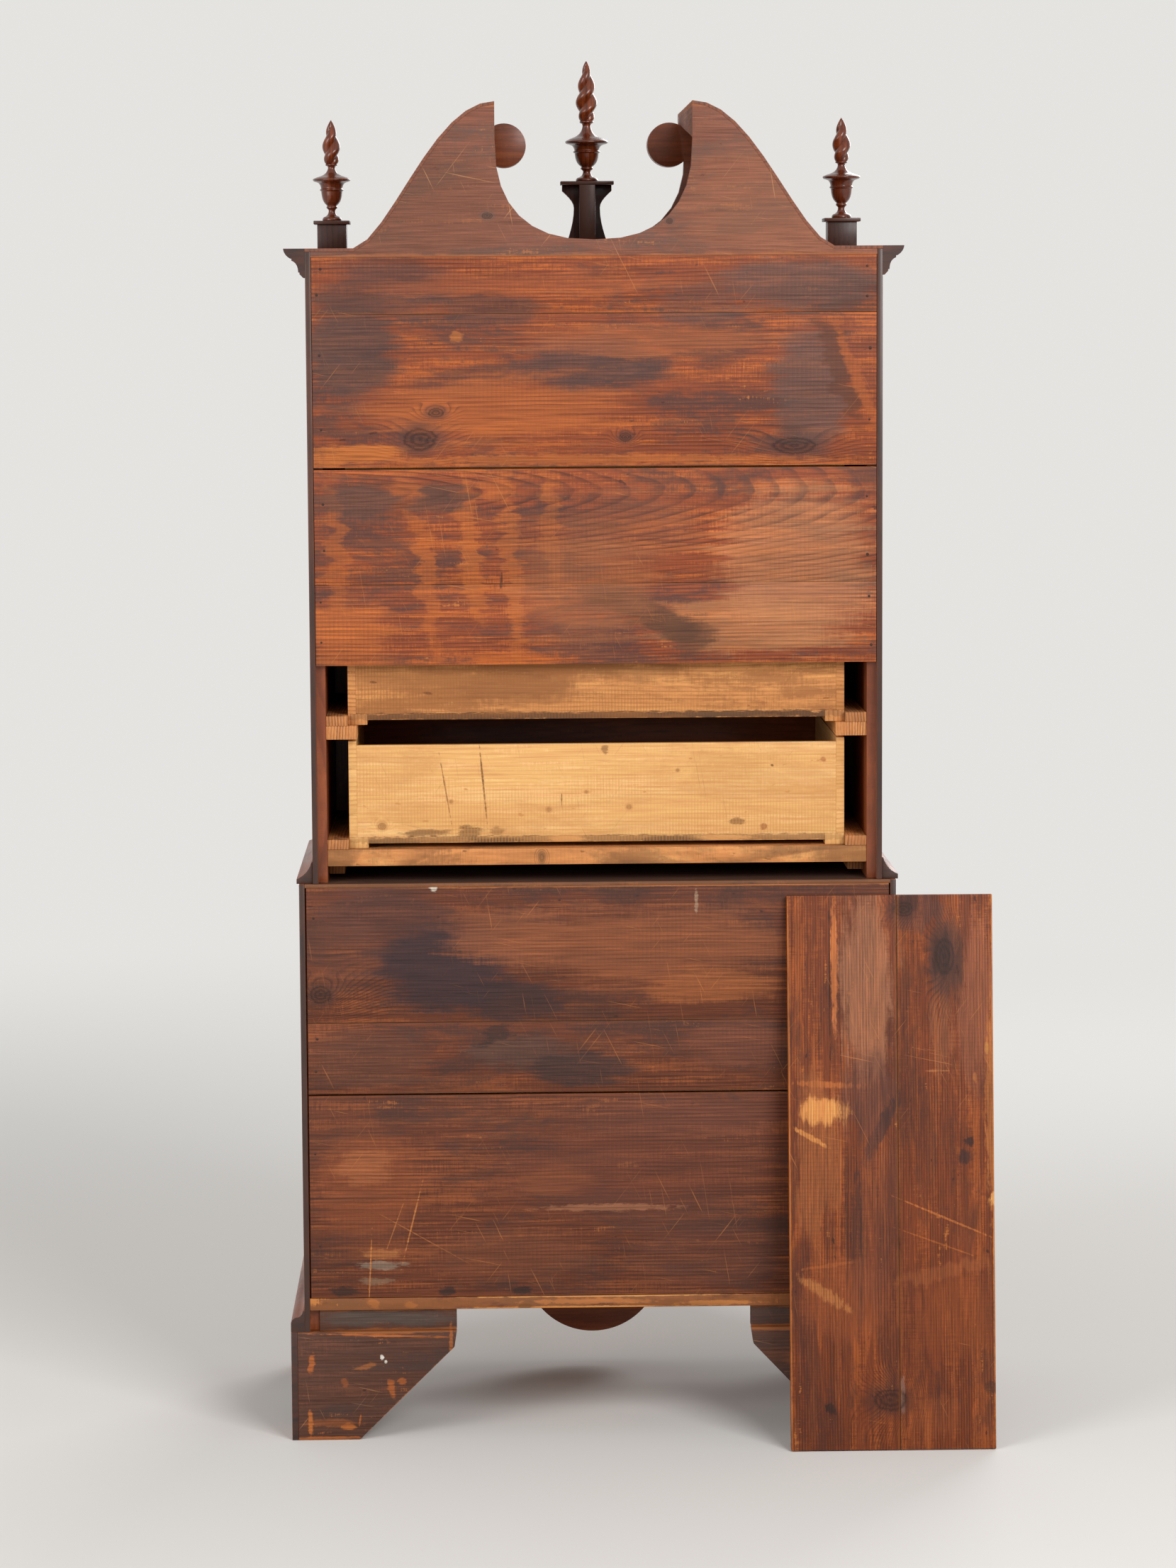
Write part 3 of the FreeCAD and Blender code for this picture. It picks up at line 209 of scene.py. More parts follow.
PANEL_STAINS = [
    (-0.429, 0.749, 0.045, 0.139, 0, "#a87050", 0.55), (-0.38, 0.79, 0.0055, 0.11, 0, "#bf6e3a", 0.75),
    (-0.3725, 0.76, 0.001, 0.14, 0, "#22130f", 0.9), (-0.365, 0.59, 0.055, 0.005, 3, "#bd6a32", 0.6),
    (-0.4815, 0.45, 0.0013, 0.8, 0, "#1d110d", 0.9), (-0.6352, 0.5, 0.0016, 0.5, 0, "#c87838", 0.7),
    (-0.3058, 0.5, 0.0014, 0.5, 0, "#c07034", 0.6), (-0.558, 0.373, 0.08, 0.0017, 23, "#bd6c34", 0.65),
    (-0.54, 0.335, 0.06, 0.0014, 20, "#b0602c", 0.55), (-0.375, 0.3, 0.045, 0.003, -8, "#b5642f", 0.5),
    (-0.414, 0.32, 0.012, 0.13, 0, "#3a2520", 0.55), (-0.398, 0.36, 0.003, 0.12, 0, "#38221c", 0.55),
    (-0.42, 0.3, 0.002, 0.12, 0, "#2c1a15", 0.6), (-0.486, 0.09, 0.004, 0.028, 0, "#a08478", 0.55),
    (-0.626, 0.645, 0.003, 0.009, 0, "#c09a44", 0.8), (-0.607, 0.598, 0.003, 0.008, 0, "#c87a3a", 0.7),
    (-0.545, 0.61, 0.02, 0.0015, 0, "#b87444", 0.6), (-0.5, 0.21, 0.04, 0.09, 0, "#5a2a18", 0.5),
    (-0.346, 0.477, 0.033, 0.122, 0, "#96572f", 0.6), (-0.358, 0.547, 0.033, 0.02, 0, "#dd9450", 0.85),
    (-0.34, 0.505, 0.029, 0.004, 30, "#d88d49", 0.7), (-0.43, 0.569, 0.044, 0.067, 0, "#5d3a30", 0.55),
    (-0.453, 0.516, 0.011, 0.061, 28, "#3a2522", 0.75), (-0.515, 0.869, 0.038, 0.033, 0, "#54352d", 0.6),
    (-0.607, 0.718, 0.031, 0.133, 0, "#93563a", 0.6), (-0.634, 0.555, 0.011, 0.167, 0, "#b06a35", 0.6),
    (-0.635, 0.405, 0.006, 0.011, 0, "#e2a05c", 0.9), (-0.597, 0.497, 0.008, 0.008, 0, "#2a1c1a", 0.85),
    (-0.589, 0.471, 0.011, 0.011, 0, "#332220", 0.8), (-0.395, 0.242, 0.078, 0.067, 0, "#8f4a26", 0.5),
    (-0.361, 0.254, 0.044, 0.009, 35, "#b9753f", 0.6), (-0.569, 0.216, 0.067, 0.067, 0, "#85431f", 0.6),
    (-0.557, 0.287, 0.078, 0.014, -10, "#9a562e", 0.4), (-0.447, 0.359, 0.029, 0.167, 0, "#6f3d2a", 0.4),
    (-0.369, 0.068, 0.007, 0.011, -20, "#2c1c18", 0.8), (-0.631, 0.101, 0.011, 0.009, 0, "#4a2c20", 0.7),
    (-0.54, 0.051, 0.044, 0.033, 0, "#8f4c28", 0.4), (-0.553, 0.672, 0.013, 0.067, 0, "#8c5335", 0.5),
    (-0.56, 0.79, 0.03, 0.062, 0, "#4c3026", 0.75), (-0.56, 0.798, 0.014, 0.036, 0, "#2c1a14", 0.85),
    (-0.501, 0.882, 0.016, 0.016, 0, "#2e1c16", 0.6),
]
PANEL_KNOTS = [
    (-0.559, 0.794, 0.017, 0.033), (-0.465, 0.082, 0.029, 0.02), (-0.492, 0.87, 0.017, 0.013),
]
PANEL_SWIRLS = [(-0.561, 0.777, 0.044, 0.1, 1.6), (-0.453, 0.076, 0.056, 0.067, 1.6)]
HOOD_STAINS = [(0.3, 2.0, 0.17, 0.1, 0, "#69412f", 0.5), (-0.3, 2.0, 0.17, 0.1, 0, "#945c40", 0.45)]
HOOD_KNOTS = [(0.17, 1.985, 0.009, 0.006), (-0.12, 1.975, 0.006, 0.005)]
INSIDE_STAINS = [
    (0.44, 0.955, 0.04, 0.03, 0, "#6e452c", 0.7), (-0.06, 0.957, 0.05, 0.009, 0, "#8a5a38", 0.5),
    (-0.42, 0.955, 0.05, 0.03, 0, "#7a4e30", 0.6),
]
INSIDE_KNOTS = [(0.09, 0.956, 0.005, 0.009)]
FLOOR_STAINS = [(0.0, 0.915, 1.5, 0.0045, 0, "#4a3830", 0.85)]
# The first two bands darken the drawers' bottom edges, partly browner wood and partly painted shade; their
# rims lay a thin painted shadow line along the bottoms of the backs.
DRAWER_STAINS_AND_SHADE = [
    (0.0, 0.984, 0.9, 0.0054, 0, "#52301a", 0.8), (0.0, 1.1846, 0.9, 0.0056, 0, "#33211a", 0.95),
    (-0.2, 0.984, 0.05, 0.004, 0, "#e0a060", 0.6), (0.244, 1.061, 0.0012, 0.054, -9.5, "#7a4d2a", 0.8),
    (0.1835, 1.072, 0.0015, 0.06, -5.3, "#6b4022", 0.85), (0.057, 1.051, 0.001, 0.01, 0, "#5c3a20", 0.8),
    (0.275, 0.995, 0.04, 0.006, 0, "#5a3a24", 0.75), (0.207, 0.996, 0.022, 0.011, 0, "#4a3020", 0.8),
    (0.16, 0.998, 0.012, 0.007, 0, "#6b4528", 0.6), (-0.227, 1.01, 0.011, 0.006, 0, "#5c3a22", 0.8),
    (-0.284, 1.101, 0.0025, 0.002, 20, "#5a3420", 0.85), (-0.367, 1.11, 0.005, 0.004, 0, "#9a4e2c", 0.7),
    (-0.27, 1.0, 0.006, 0.005, 0, "#8a4426", 0.75), (-0.014, 1.13, 0.006, 0.007, 30, "#7a4e2c", 0.7),
    (0.33, 0.982, 0.05, 0.006, 0, "#2a180e", 0.8), (0.16, 0.981, 0.04, 0.005, 0, "#2a180e", 0.8),
    (0.05, 0.984, 0.03, 0.006, 0, "#dc9a5a", 0.7), (-0.12, 0.982, 0.05, 0.005, 0, "#2e1c12", 0.75),
    (0.41, 1.06, 0.014, 0.09, 0, "#b3834c", 0.5), (-0.41, 1.06, 0.014, 0.09, 0, "#b3834c", 0.4),
    (0.13, 1.226, 0.09, 0.035, 0, "#8d5a34", 0.7), (0.3, 1.245, 0.12, 0.02, 0, "#9a653a", 0.6),
    (-0.05, 1.25, 0.1, 0.014, 0, "#9c6a3e", 0.5), (0.359, 1.241, 0.006, 0.002, 0, "#4a2c1a", 0.8),
    (0.271, 1.222, 0.007, 0.002, 10, "#4a2c1a", 0.8),
]
DRAWER_KNOTS = [
    (0.348, 1.007, 0.007, 0.006), (0.236, 1.046, 0.003, 0.003), (0.078, 1.032, 0.0045, 0.004),
    (0.017, 1.06, 0.003, 0.0025), (-0.131, 1.094, 0.003, 0.0025), (-0.052, 1.035, 0.0045, 0.004),
]
FOOT_STAINS = [
    (0.35, 0.173, 0.105, 0.0018, 2, "#b5622c", 0.8), (0.472, 0.129, 0.005, 0.016, 8, "#b0602c", 0.8),
    (0.342, 0.086, 0.006, 0.016, -8, "#a65a2a", 0.8), (0.324, 0.096, 0.007, 0.006, 30, "#a65a2a", 0.75),
    (0.475, 0.03, 0.004, 0.02, 0, "#bb6a30", 0.85), (0.411, 0.022, 0.012, 0.005, 0, "#bb6a30", 0.85),
    (0.418, 0.096, 0.006, 0.007, 30, "#8f4f2a", 0.7), (0.394, 0.033, 0.0015, 0.013, 8, "#b0602c", 0.8),
    (0.315, 0.076, 0.106, 0.0024, -44.4, "#b5682f", 0.85), (0.244, 0.158, 0.003, 0.03, 0, "#a8602e", 0.7),
    (0.357, 0.137, 0.0032, 0.0042, 0, "#dcd6cc", 0.95), (0.351, 0.13, 0.0025, 0.0026, 20, "#d2ccc0", 0.95),
    (0.383, 0.122, 0.016, 0.004, -14, "#94592f", 0.7), (0.355, 0.204, 0.11, 0.014, 0, "#4e443d", 0.8),
    (0.44, 0.004, 0.05, 0.002, 0, "#b0602c", 0.8), (0.44, 0.028, 0.045, 0.006, 0, "#94522a", 0.5),
    (-0.34, 0.12, 0.03, 0.02, 0, "#7c4a2e", 0.6),
]
BASE_STAINS = [
    (0.05, 0.2175, 0.17, 0.002, 0, "#cc8441", 0.85), (0.0, 0.2355, 0.2, 0.0016, 0, "#d89a5a", 0.8),
    (0.02, 0.227, 0.1, 0.005, 0, "#b8703c", 0.6), (0.12, 0.2195, 0.012, 0.005, 0, "#2c1c18", 0.85),
    (0.37, 0.228, 0.012, 0.007, 30, "#a8602e", 0.6), (0.31, 0.223, 0.01, 0.005, 0, "#a8602e", 0.6),
    (-0.2, 0.222, 0.06, 0.004, 0, "#c07a40", 0.75),
]


# ---- Old wood --------------------------------------------------------------------------------------
EVEN = (1.0, 1.0, 1.0)


def cloud(vector, stretch, scale=1.0, detail=3.0, roughness=0.5, distortion=0.0, give="Fac"):
    """Noise whose stretch counts its patches in a metre along, across and through a board.

    So 480 across is a fibre some 2 mm wide, and 12 along lets it run for 80 mm before it ends.
    """
    vector = add(vector.tree, "ShaderNodeMapping", {"Vector": vector, "Scale": stretch})
    inputs = {"Vector": vector, "Scale": scale, "Detail": detail, "Roughness": roughness,
              "Distortion": distortion}
    return add(vector.tree, "ShaderNodeTexNoise", inputs, give=give)


def far_from(place, x, z, rx, rz, tilt=0.0):
    """Distance from a spot on the face of a board, in spot sizes."""
    inputs = {"Vector": place, "Location": (x, 0.0, z), "Rotation": (0.0, math.radians(-tilt), 0.0),
              "Scale": (rx, 1000.0, rz)}
    inside = add(place.tree, "ShaderNodeMapping", inputs, vector_type="TEXTURE")
    return add(place.tree, "ShaderNodeVectorMath", {0: inside}, give="Value", operation="LENGTH")


def scratches(place, angle, mask):
    """Fine straight scores at an angle to the fibres, where the mask lets them show."""
    inputs = {"Vector": place, "Rotation": (0.0, math.radians(angle), 0.0)}
    turned = add(place.tree, "ShaderNodeMapping", inputs)
    return cloud(turned, (9.0, 3.0, 380.0), 1.0, 2.0, 0.45).smooth(0.7, 0.75) * mask


# What a wood's look starts from. The amounts run from 0 to 1, "_from" is where in its noise a layer begins,
# dusk is a colour, the depth where it begins and its amount, and drift counts the rings that wander.
WOOD = {
    "body": "#8a4c30", "glow": "#b06030", "line": "#4a271a", "glow_amount": 0.6, "line_amount": 0.7,
    "ring_mm": 6.0, "drift": 6.0, "oxide": "#553d38", "oxide_amount": 0.6, "oxide_from": 0.46,
    "worn": "#bd7038", "worn_amount": 0.5, "worn_from": 0.66, "edge_amount": 0.6,
    "scratch": "#c08a5c", "scratch_amount": 0.0, "fibre": 0.7, "pits": 0.8, "specular": 0.25,
    "saw_mm": 0.0, "saw_amount": 0.12, "roughness": 0.6, "coat": 0.0, "bump": 0.3, "heart": "#21130f",
    "dusk": None, "stains": (), "knots": (), "swirls": (), "arches": (),
}
# The greys that fibres give bare wood and a stain, and those that boards differ by.
FIBRE_GREYS = [(0.15, 0.22), (0.5, 0.5), (0.85, 0.76)]
STAIN_GREYS = [(0.15, 0.25), (0.5, 0.5), (0.85, 0.74)]
BOARD_GREYS = [(0.0, 0.4), (1.0, 0.6)]
SCRATCH_ANGLES = (64.0, 81.0, -52.0, 12.0)
# A mark with a half size up to this is crisp, and a larger one is ragged along the fibres.
SMALL_MARK = 0.012


def wood(name, **changes):
    """Old wood: growth rings, fibres, glowing and oxidised streaks, worn edges, stains, knots and scores."""
    look = {**WOOD, **changes}
    material, tree = new_material(name)
    grain, local, half = (add(tree, "ShaderNodeAttribute", give="Vector", attribute_name=attribute)
                          for attribute in ("grain", "local", "half"))
    board = add(tree, "ShaderNodeAttribute", give="Fac", attribute_name="board")
    place = add(tree, "ShaderNodeTexCoord", give="Object")
    place_x, depth, place_z = place.parts()

    # Growth rings: fine lines along the board, drifting slowly, bent round knots.
    drift = cloud(grain, (0.8, 3.0, 2.0), 1.5, 2.0, 0.45)
    wobble = cloud(grain, (5.0, 30.0, 6.0), 1.0, 2.0)
    across = grain.parts()[1]
    for x, z, slope, low, high in look["arches"]:
        # Rings about a heart that dips under the face: they show as arches with their tips towards -X.
        deep = ((x - place_x) * slope).reckon("MAXIMUM", 0.0)
        out = (deep ** 2.0 + (place_z - z) ** 2.0).reckon("SQRT")
        across = (place_z > low) * (place_z < high) * (out - across) + across
    phase = across * (1000.0 / look["ring_mm"]) + drift * look["drift"] + wobble * 1.1
    for x, z, rx, rz in look["knots"]:
        phase = far_from(place, x, z, rx * 2.6, rz * 2.2).smooth(1.2, 0.0) * 4.0 + phase
    for x, z, rx, rz, rings in look["swirls"]:
        phase = far_from(place, x, z, rx, rz).smooth(1.1, 0.0) * (rings * 3.0) + phase
    tooth = phase.reckon("FRACT")
    strength = cloud(grain, (3.0, 40.0, 8.0), 1.0, 3.0, 0.6).smooth(0.28, 0.68)
    ring = tooth.smooth(0.3, 0.95) ** 1.5 * (1.0 - tooth ** 30.0) * (strength * 0.75 + 0.25)

    # Streaks that glow between the rings, broken by fibres and by the fine hatching of the saw.
    streak = cloud(grain, (2.6, 44.0, 12.0), 1.0, 7.0, 0.74)
    fibre = cloud(grain, (12.0, 480.0, 110.0), 1.0, 3.0, 0.6)
    soft_fibre = cloud(grain, (6.0, 110.0, 24.0), 1.0, 4.0, 0.65)
    hatch = cloud(grain, (480.0, 34.0, 34.0), 1.0, 2.0, 0.55)
    speck = cloud(grain, (55.0, 150.0, 150.0), 1.0, 4.0, 0.7)
    broken = hatch * 0.3 + (soft_fibre * 0.5 - 0.4) + (speck - 0.5) * 0.3
    glow = (streak + broken).smooth(0.47, 0.6) * look["glow_amount"]
    tone = (fibre - 0.5) * 1.6 + 0.5
    colour = painted(tree, look["body"], look["glow"], glow)
    colour = painted(tree, colour, look["line"], ring * look["line_amount"])
    colour = shaded(colour, tone, FIBRE_GREYS, look["fibre"])
    colour = shaded(colour, board, BOARD_GREYS, 0.3)

    # Oxidised clouds, drawn out along the fibres.
    dark = cloud(grain, (1.5, 4.5, 2.0), 2.4, 6.0, 0.7, 0.4) + broken * 0.7
    dark = dark.smooth(look["oxide_from"], look["oxide_from"] + 0.16)
    colour = painted(tree, colour, look["oxide"], dark * look["oxide_amount"])

    # Scuffed wood: handled places that show fresher wood, with hard edges.
    fresh = cloud(grain, (3.0, 11.0, 5.0), 2.6, 6.0, 0.75) + broken
    fresh = fresh.smooth(look["worn_from"], look["worn_from"] + 0.09)
    colour = painted(tree, colour, look["worn"], fresh * look["worn_amount"])

    # Small bruises and pits, black with age.
    pits = cloud(grain, (40.0, 90.0, 90.0), 1.0, 2.0).smooth(0.72, 0.77)
    colour = painted(tree, colour, look["line"], pits * look["pits"])

    # Stains, each with a ragged edge that follows the fibres; a few on the drawers are bands of painted shade.
    # The rings and fibres show through them.
    ragged = cloud(grain, (6.0, 26.0, 10.0), 1.6, 5.0, 0.7, give="Color")
    shift = add(tree, "ShaderNodeVectorMath", {0: ragged, 1: (0.5, 0.5, 0.5)}, operation="SUBTRACT")
    inputs = {0: shift, 1: (0.1, 0.0, 0.06), 2: place}
    moved = add(tree, "ShaderNodeVectorMath", inputs, operation="MULTIPLY_ADD")
    torn = streak * -1.6 + (broken * -1.2 + 0.8)
    chipped = speck * -2.4 + 1.2
    veins = ring * 0.5
    for x, z, rx, rz, tilt, code, amount in look["stains"]:
        about, rim = (place, chipped) if min(rx, rz) <= SMALL_MARK else (moved, torn)
        away = far_from(about, x, z, rx, rz, tilt) + rim
        stain = shaded(painted(tree, code, look["line"], veins), tone, STAIN_GREYS, look["fibre"])
        colour = painted(tree, colour, stain, away.smooth(1.25, 0.7) * amount)

    # Knots: rings of their own round a dark, cracked core, in a resinous halo.
    for x, z, rx, rz in look["knots"]:
        away = far_from(place, x, z, rx, rz) + broken * 0.9
        rim = (away * 17.0).reckon("SINE") * 0.22 + 0.42
        colour = painted(tree, colour, look["oxide"], away.smooth(1.9, 0.9) * 0.5)
        colour = painted(tree, colour, look["heart"], away.smooth(1.05, 0.8) * rim)

    # Long edges rubbed bright, and end grain left open.
    reach = add(tree, "ShaderNodeVectorMath", {0: local}, operation="ABSOLUTE")
    inside = add(tree, "ShaderNodeVectorMath", {0: half, 1: reach}, operation="SUBTRACT").parts()
    rub = cloud(grain, (14.0, 60.0, 60.0), 1.0, 4.0, 0.65)
    edge = (rub * -0.016 + inside[1]).smooth(-0.003, -0.0075)
    colour = painted(tree, colour, look["worn"], edge * look["edge_amount"])
    end_grain = painted(tree, look["body"], look["line"], ring)
    colour = painted(tree, colour, end_grain, inside[0].smooth(0.0006, 0.0001) * 0.6)
    height = ring * 0.5 + fibre * 0.8
    if look["saw_mm"]:
        # Saw marks: shallow scores square to the fibres, in drifts.
        along = add(tree, "ShaderNodeMapping", {"Vector": grain, "Scale": (1.0, 0.05, 0.05)})
        waves = {"Vector": along, "Scale": 160 / look["saw_mm"], "Distortion": 2.5, "Detail": 2.0}
        saw = add(tree, "ShaderNodeTexWave", waves, give="Fac", wave_profile="SAW")
        saw = saw * cloud(grain, (2.0, 6.0, 2.0), 1.5).smooth(0.35, 0.65)
        height = saw * 0.4 + height
        colour = painted(tree, colour, look["line"], saw * look["saw_amount"])
    if look["scratch_amount"]:
        mask = cloud(place, EVEN, 5.0, 3.0, 0.6).smooth(0.46, 0.6)
        for angle in SCRATCH_ANGLES:
            score = scratches(place, angle, mask) * look["scratch_amount"]
            colour = painted(tree, colour, look["scratch"], score)
    if look["dusk"]:
        # Soot and old finish on the faces that look back.
        code, start, amount = look["dusk"]
        back = add(tree, "ShaderNodeTexCoord", give="Normal").parts()[1].smooth(0.3, 0.8)
        soot = back * (soft_fibre * 0.6 + 0.6) * depth.smooth(start, start + 0.006) * amount
        colour = painted(tree, colour, code, soot)
    gloss = dark * 0.08 + (ring * -0.08 + look["roughness"])
    relief = add(tree, "ShaderNodeBump", {"Strength": look["bump"], "Distance": 0.0006, "Height": height})
    shader = add(tree, "ShaderNodeBsdfPrincipled", {
        "Base Color": colour, "Roughness": gloss, "Normal": relief, "IOR": 1.5,
        "Specular IOR Level": look["specular"], "Coat Weight": look["coat"], "Coat Roughness": 0.25})
    add(tree, "ShaderNodeOutputMaterial", {"Surface": shader})
    return material


def aged_brass():
    """Cast brass, lacquered long ago: warm, dull gold with browner bloom in its hollows."""
    material, tree = new_material("Aged cast brass")
    place = add(tree, "ShaderNodeTexCoord", give="Object")
    bloom = cloud(place, EVEN, 60.0, 4.0, 0.6)
    pits = cloud(place, EVEN, 900.0, 2.0)
    tone = bpy.context.scene.chest_colours.brass
    colour = painted(tree, (*tone, 1.0), (*(0.45 * c for c in tone), 1.0), bloom)
    relief = add(tree, "ShaderNodeBump", {"Strength": 0.15, "Distance": 0.0003, "Height": pits})
    shader = add(tree, "ShaderNodeBsdfPrincipled", {
        "Base Color": colour, "Metallic": 1.0, "Roughness": bloom * 0.25 + 0.22, "Normal": relief})
    add(tree, "ShaderNodeOutputMaterial", {"Surface": shader})
    return material


def rusty_iron():
    """Hand-forged nail heads: nearly black iron with rust on it."""
    material, tree = new_material("Forged iron nails")
    rust = cloud(add(tree, "ShaderNodeTexCoord", give="Object"), EVEN, 350.0, 3.0, 0.6)
    colour = painted(tree, "#1d1714", "#4a2c1e", rust)
    inputs = {"Base Color": colour, "Metallic": 0.35, "Roughness": 0.65}
    shader = add(tree, "ShaderNodeBsdfPrincipled", inputs)
    add(tree, "ShaderNodeOutputMaterial", {"Surface": shader})
    return material


MATERIALS = {}


def make_materials():
    """Everything the chest is made of."""
    # Pine boards, some two and a half centuries old, sawn by hand and never finished: orange between dark
    # rings where the wood is fresh, and grey-brown in drifts where air and soot have got to it.
    backs = dict(saw_mm=3.5, saw_amount=0.2, scratch="#c07a42", scratch_amount=0.4, roughness=0.6, bump=0.45,
                 line_amount=0.85)
    MATERIALS["back"] = wood("Oxidised pine backboards, upper", body="#8a4426", glow="#c0642a",
                             line="#43221a", oxide="#473431", oxide_amount=0.75, worn="#cf7a38",
                             worn_amount=0.6, ring_mm=6.5,
                             drift=4.0, edge_amount=0.08, glow_amount=0.75, stains=UPPER_STAINS,
                             knots=UPPER_KNOTS, arches=UPPER_ARCHES, **backs)
    MATERIALS["low_back"] = wood("Oxidised pine backboards, lower", body="#65341f", glow="#94502a",
                                 line="#351d15", oxide="#3c2a26", oxide_amount=0.65, worn="#b86c34",
                                 worn_amount=0.45, ring_mm=6.0, drift=3.0, edge_amount=0.08,
                                 stains=LOWER_STAINS, knots=LOWER_KNOTS, swirls=LOWER_SWIRLS, **backs)
    MATERIALS["loose"] = wood("Oxidised pine panel, taken off", body="#743719", glow="#a95826",
                              line="#331a13", oxide="#42261f", oxide_amount=0.6, worn="#c57433",
                              worn_amount=0.6, ring_mm=4.5,
                              drift=4.0, edge_amount=0.15, stains=PANEL_STAINS, knots=PANEL_KNOTS,
                              swirls=PANEL_SWIRLS, **backs)
    # Pine behind the hood, planed and washed brown.
    MATERIALS["hood"] = wood("Planed pine, brown wash", body="#7d4d3c", glow="#965d46", line="#5a382c",
                             line_amount=0.4, glow_amount=0.4, oxide="#5c4a42", oxide_amount=0.7,
                             worn="#b06c40", worn_amount=0.6, worn_from=0.62, ring_mm=8.0, drift=10.0,
                             edge_amount=0.5, roughness=0.66, scratch_amount=0.5,
                             stains=HOOD_STAINS, knots=HOOD_KNOTS)
    # Pine inside the cases: bare and pale where no light came, dark where hands and air did.
    MATERIALS["inside"] = wood("Pine carcase boards, bare", body="#c07c48", glow="#e6a262", line="#623a22",
                               line_amount=0.85, oxide="#4c3527", oxide_amount=0.65, worn="#d2904f",
                               worn_amount=0.6, ring_mm=5.0, saw_mm=3.5, roughness=0.65, drift=12.0,
                               edge_amount=0.2, stains=INSIDE_STAINS, knots=INSIDE_KNOTS)
    # Boards whose edges stand out at the back, rubbed pale along their corners.
    MATERIALS["floor"] = wood("Pine floor board, edge rubbed", body="#6e3f28", glow="#95562f", line="#3a2218",
                              oxide="#3f2a22", oxide_amount=0.7, worn="#c5793f", worn_amount=0.8,
                              worn_from=0.56, ring_mm=6.0, roughness=0.62, edge_amount=0.2,
                              stains=FLOOR_STAINS)
    MATERIALS["base"] = wood("Pine base board, dark edge", body="#5f3427", glow="#7e4629", line="#35201a",
                             oxide="#45302a", oxide_amount=0.75, worn="#c9803f", worn_amount=0.7,
                             worn_from=0.61, ring_mm=5.0, edge_amount=0.25, roughness=0.62,
                             stains=BASE_STAINS)
    # The brackets at the back, washed dark and scuffed through to the wood.
    MATERIALS["feet"] = wood("Pine bracket, dark wash", body="#573629", glow="#704431", line="#33201a",
                             oxide="#43332e", oxide_amount=0.75, worn="#a8622f", worn_amount=0.7, ring_mm=6.0,
                             worn_from=0.64, scratch_amount=0.5, roughness=0.6, stains=FOOT_STAINS)
    # The drawers' linings: thin pine, the palest wood of all, sawn and hardly planed.
    drawers = dict(line_amount=0.5, ring_mm=7.0, fibre=0.35, saw_mm=2.6, saw_amount=0.6, edge_amount=0.05,
                   roughness=0.62, scratch="#8a5a30", scratch_amount=0.3, stains=DRAWER_STAINS_AND_SHADE)
    MATERIALS["drawer"] = wood("Pale pine drawer linings, bare, painted shadow lines", body="#dca868", glow="#efc084",
                               line="#c0854a", oxide="#b07844", oxide_amount=0.35, worn="#f0ca94",
                               worn_amount=0.5, knots=DRAWER_KNOTS, heart="#7a4c2a", pits=0.9, **drawers)
    # Upper drawer 4's lining is darker all over: partly browner pine, partly painted shade where that drawer's
    # back lies in shade.
    MATERIALS["shaded_brown_drawer"] = wood("Pine drawer linings, browned and painted shade", body="#cb8950", glow="#e4a35e",
                                     line="#8a5428", oxide="#8a5530", oxide_amount=0.7, worn="#e2a868",
                                     worn_amount=0.4, **drawers)
    # The show wood: cherry under old varnish, paler where light and hands have worn it.
    MATERIALS["cherry"] = wood("Cherry under old varnish", body="#834326", glow="#9c5430", line="#5e2c18",
                               line_amount=0.45, oxide="#4f2a1c", oxide_amount=0.45, worn="#a8623a",
                               worn_amount=0.3, ring_mm=11.0, drift=18.0, fibre=0.3, edge_amount=0.35,
                               roughness=0.42, coat=0.25, bump=0.12, dusk=("#2c2423", 0.242, 0.95))
    # The finials keep more of their varnish: deep red-brown with a wet shine. Their plinths are nearly black.
    MATERIALS["finial"] = wood("Turned cherry, dark varnish", body="#64290f", glow="#8a401a", line="#3a160a",
                               oxide="#2c120a", oxide_amount=0.5, worn="#96501f", worn_amount=0.3,
                               ring_mm=8.0, edge_amount=0.0, roughness=0.28, coat=0.6, bump=0.08)
    MATERIALS["plinth"] = wood("Cherry plinths, blackened varnish", body="#42261e", glow="#54302a",
                               line="#2a1712", line_amount=0.4, oxide="#2c2020", oxide_amount=0.7,
                               worn="#6c4030", worn_amount=0.3, ring_mm=8.0, edge_amount=0.3,
                               roughness=0.42, coat=0.15, bump=0.12)
    MATERIALS["brass"] = aged_brass()
    MATERIALS["iron"] = rusty_iron()


# ---- Pieces from the frame's solids ------------------------------------------------------------------
# Points of the frame that are closer than this are one point, and bends under these angles are no edges.
SAME_POINT = 0.005 * MM
FLAT, SHARP = math.radians(0.6), math.radians(32)


def solids_of(node):
    """The node's closed solids, each as its vertices and faces. Its triangles come solid by solid."""
    mesh = NODES[node].data
    found, points, index, faces, open_edges = [], [], {}, [], set()
    for triangle in mesh.polygons:
        corners = []
        for i in triangle.vertices:
            co = mesh.vertices[i].co
            key = tuple(round(c / SAME_POINT) for c in co)
            if key not in index:
                index[key] = len(points)
                points.append(co.copy())
            corners.append(index[key])
        if len(set(corners)) < 3:
            continue
        faces.append(corners)
        for a, b in zip(corners, corners[1:] + corners[:1]):
            if (b, a) in open_edges:
                open_edges.remove((b, a))
            else:
                open_edges.add((a, b))
        if not open_edges:
            found.append((points, faces))
            points, index, faces = [], {}, []
    return found


def grain_axes(points):
    """The axes along, across and through a board, by its size."""
    size = [max(p[i] for p in points) - min(p[i] for p in points) for i in range(3)]
    return sorted(range(3), key=lambda i: -size[i])


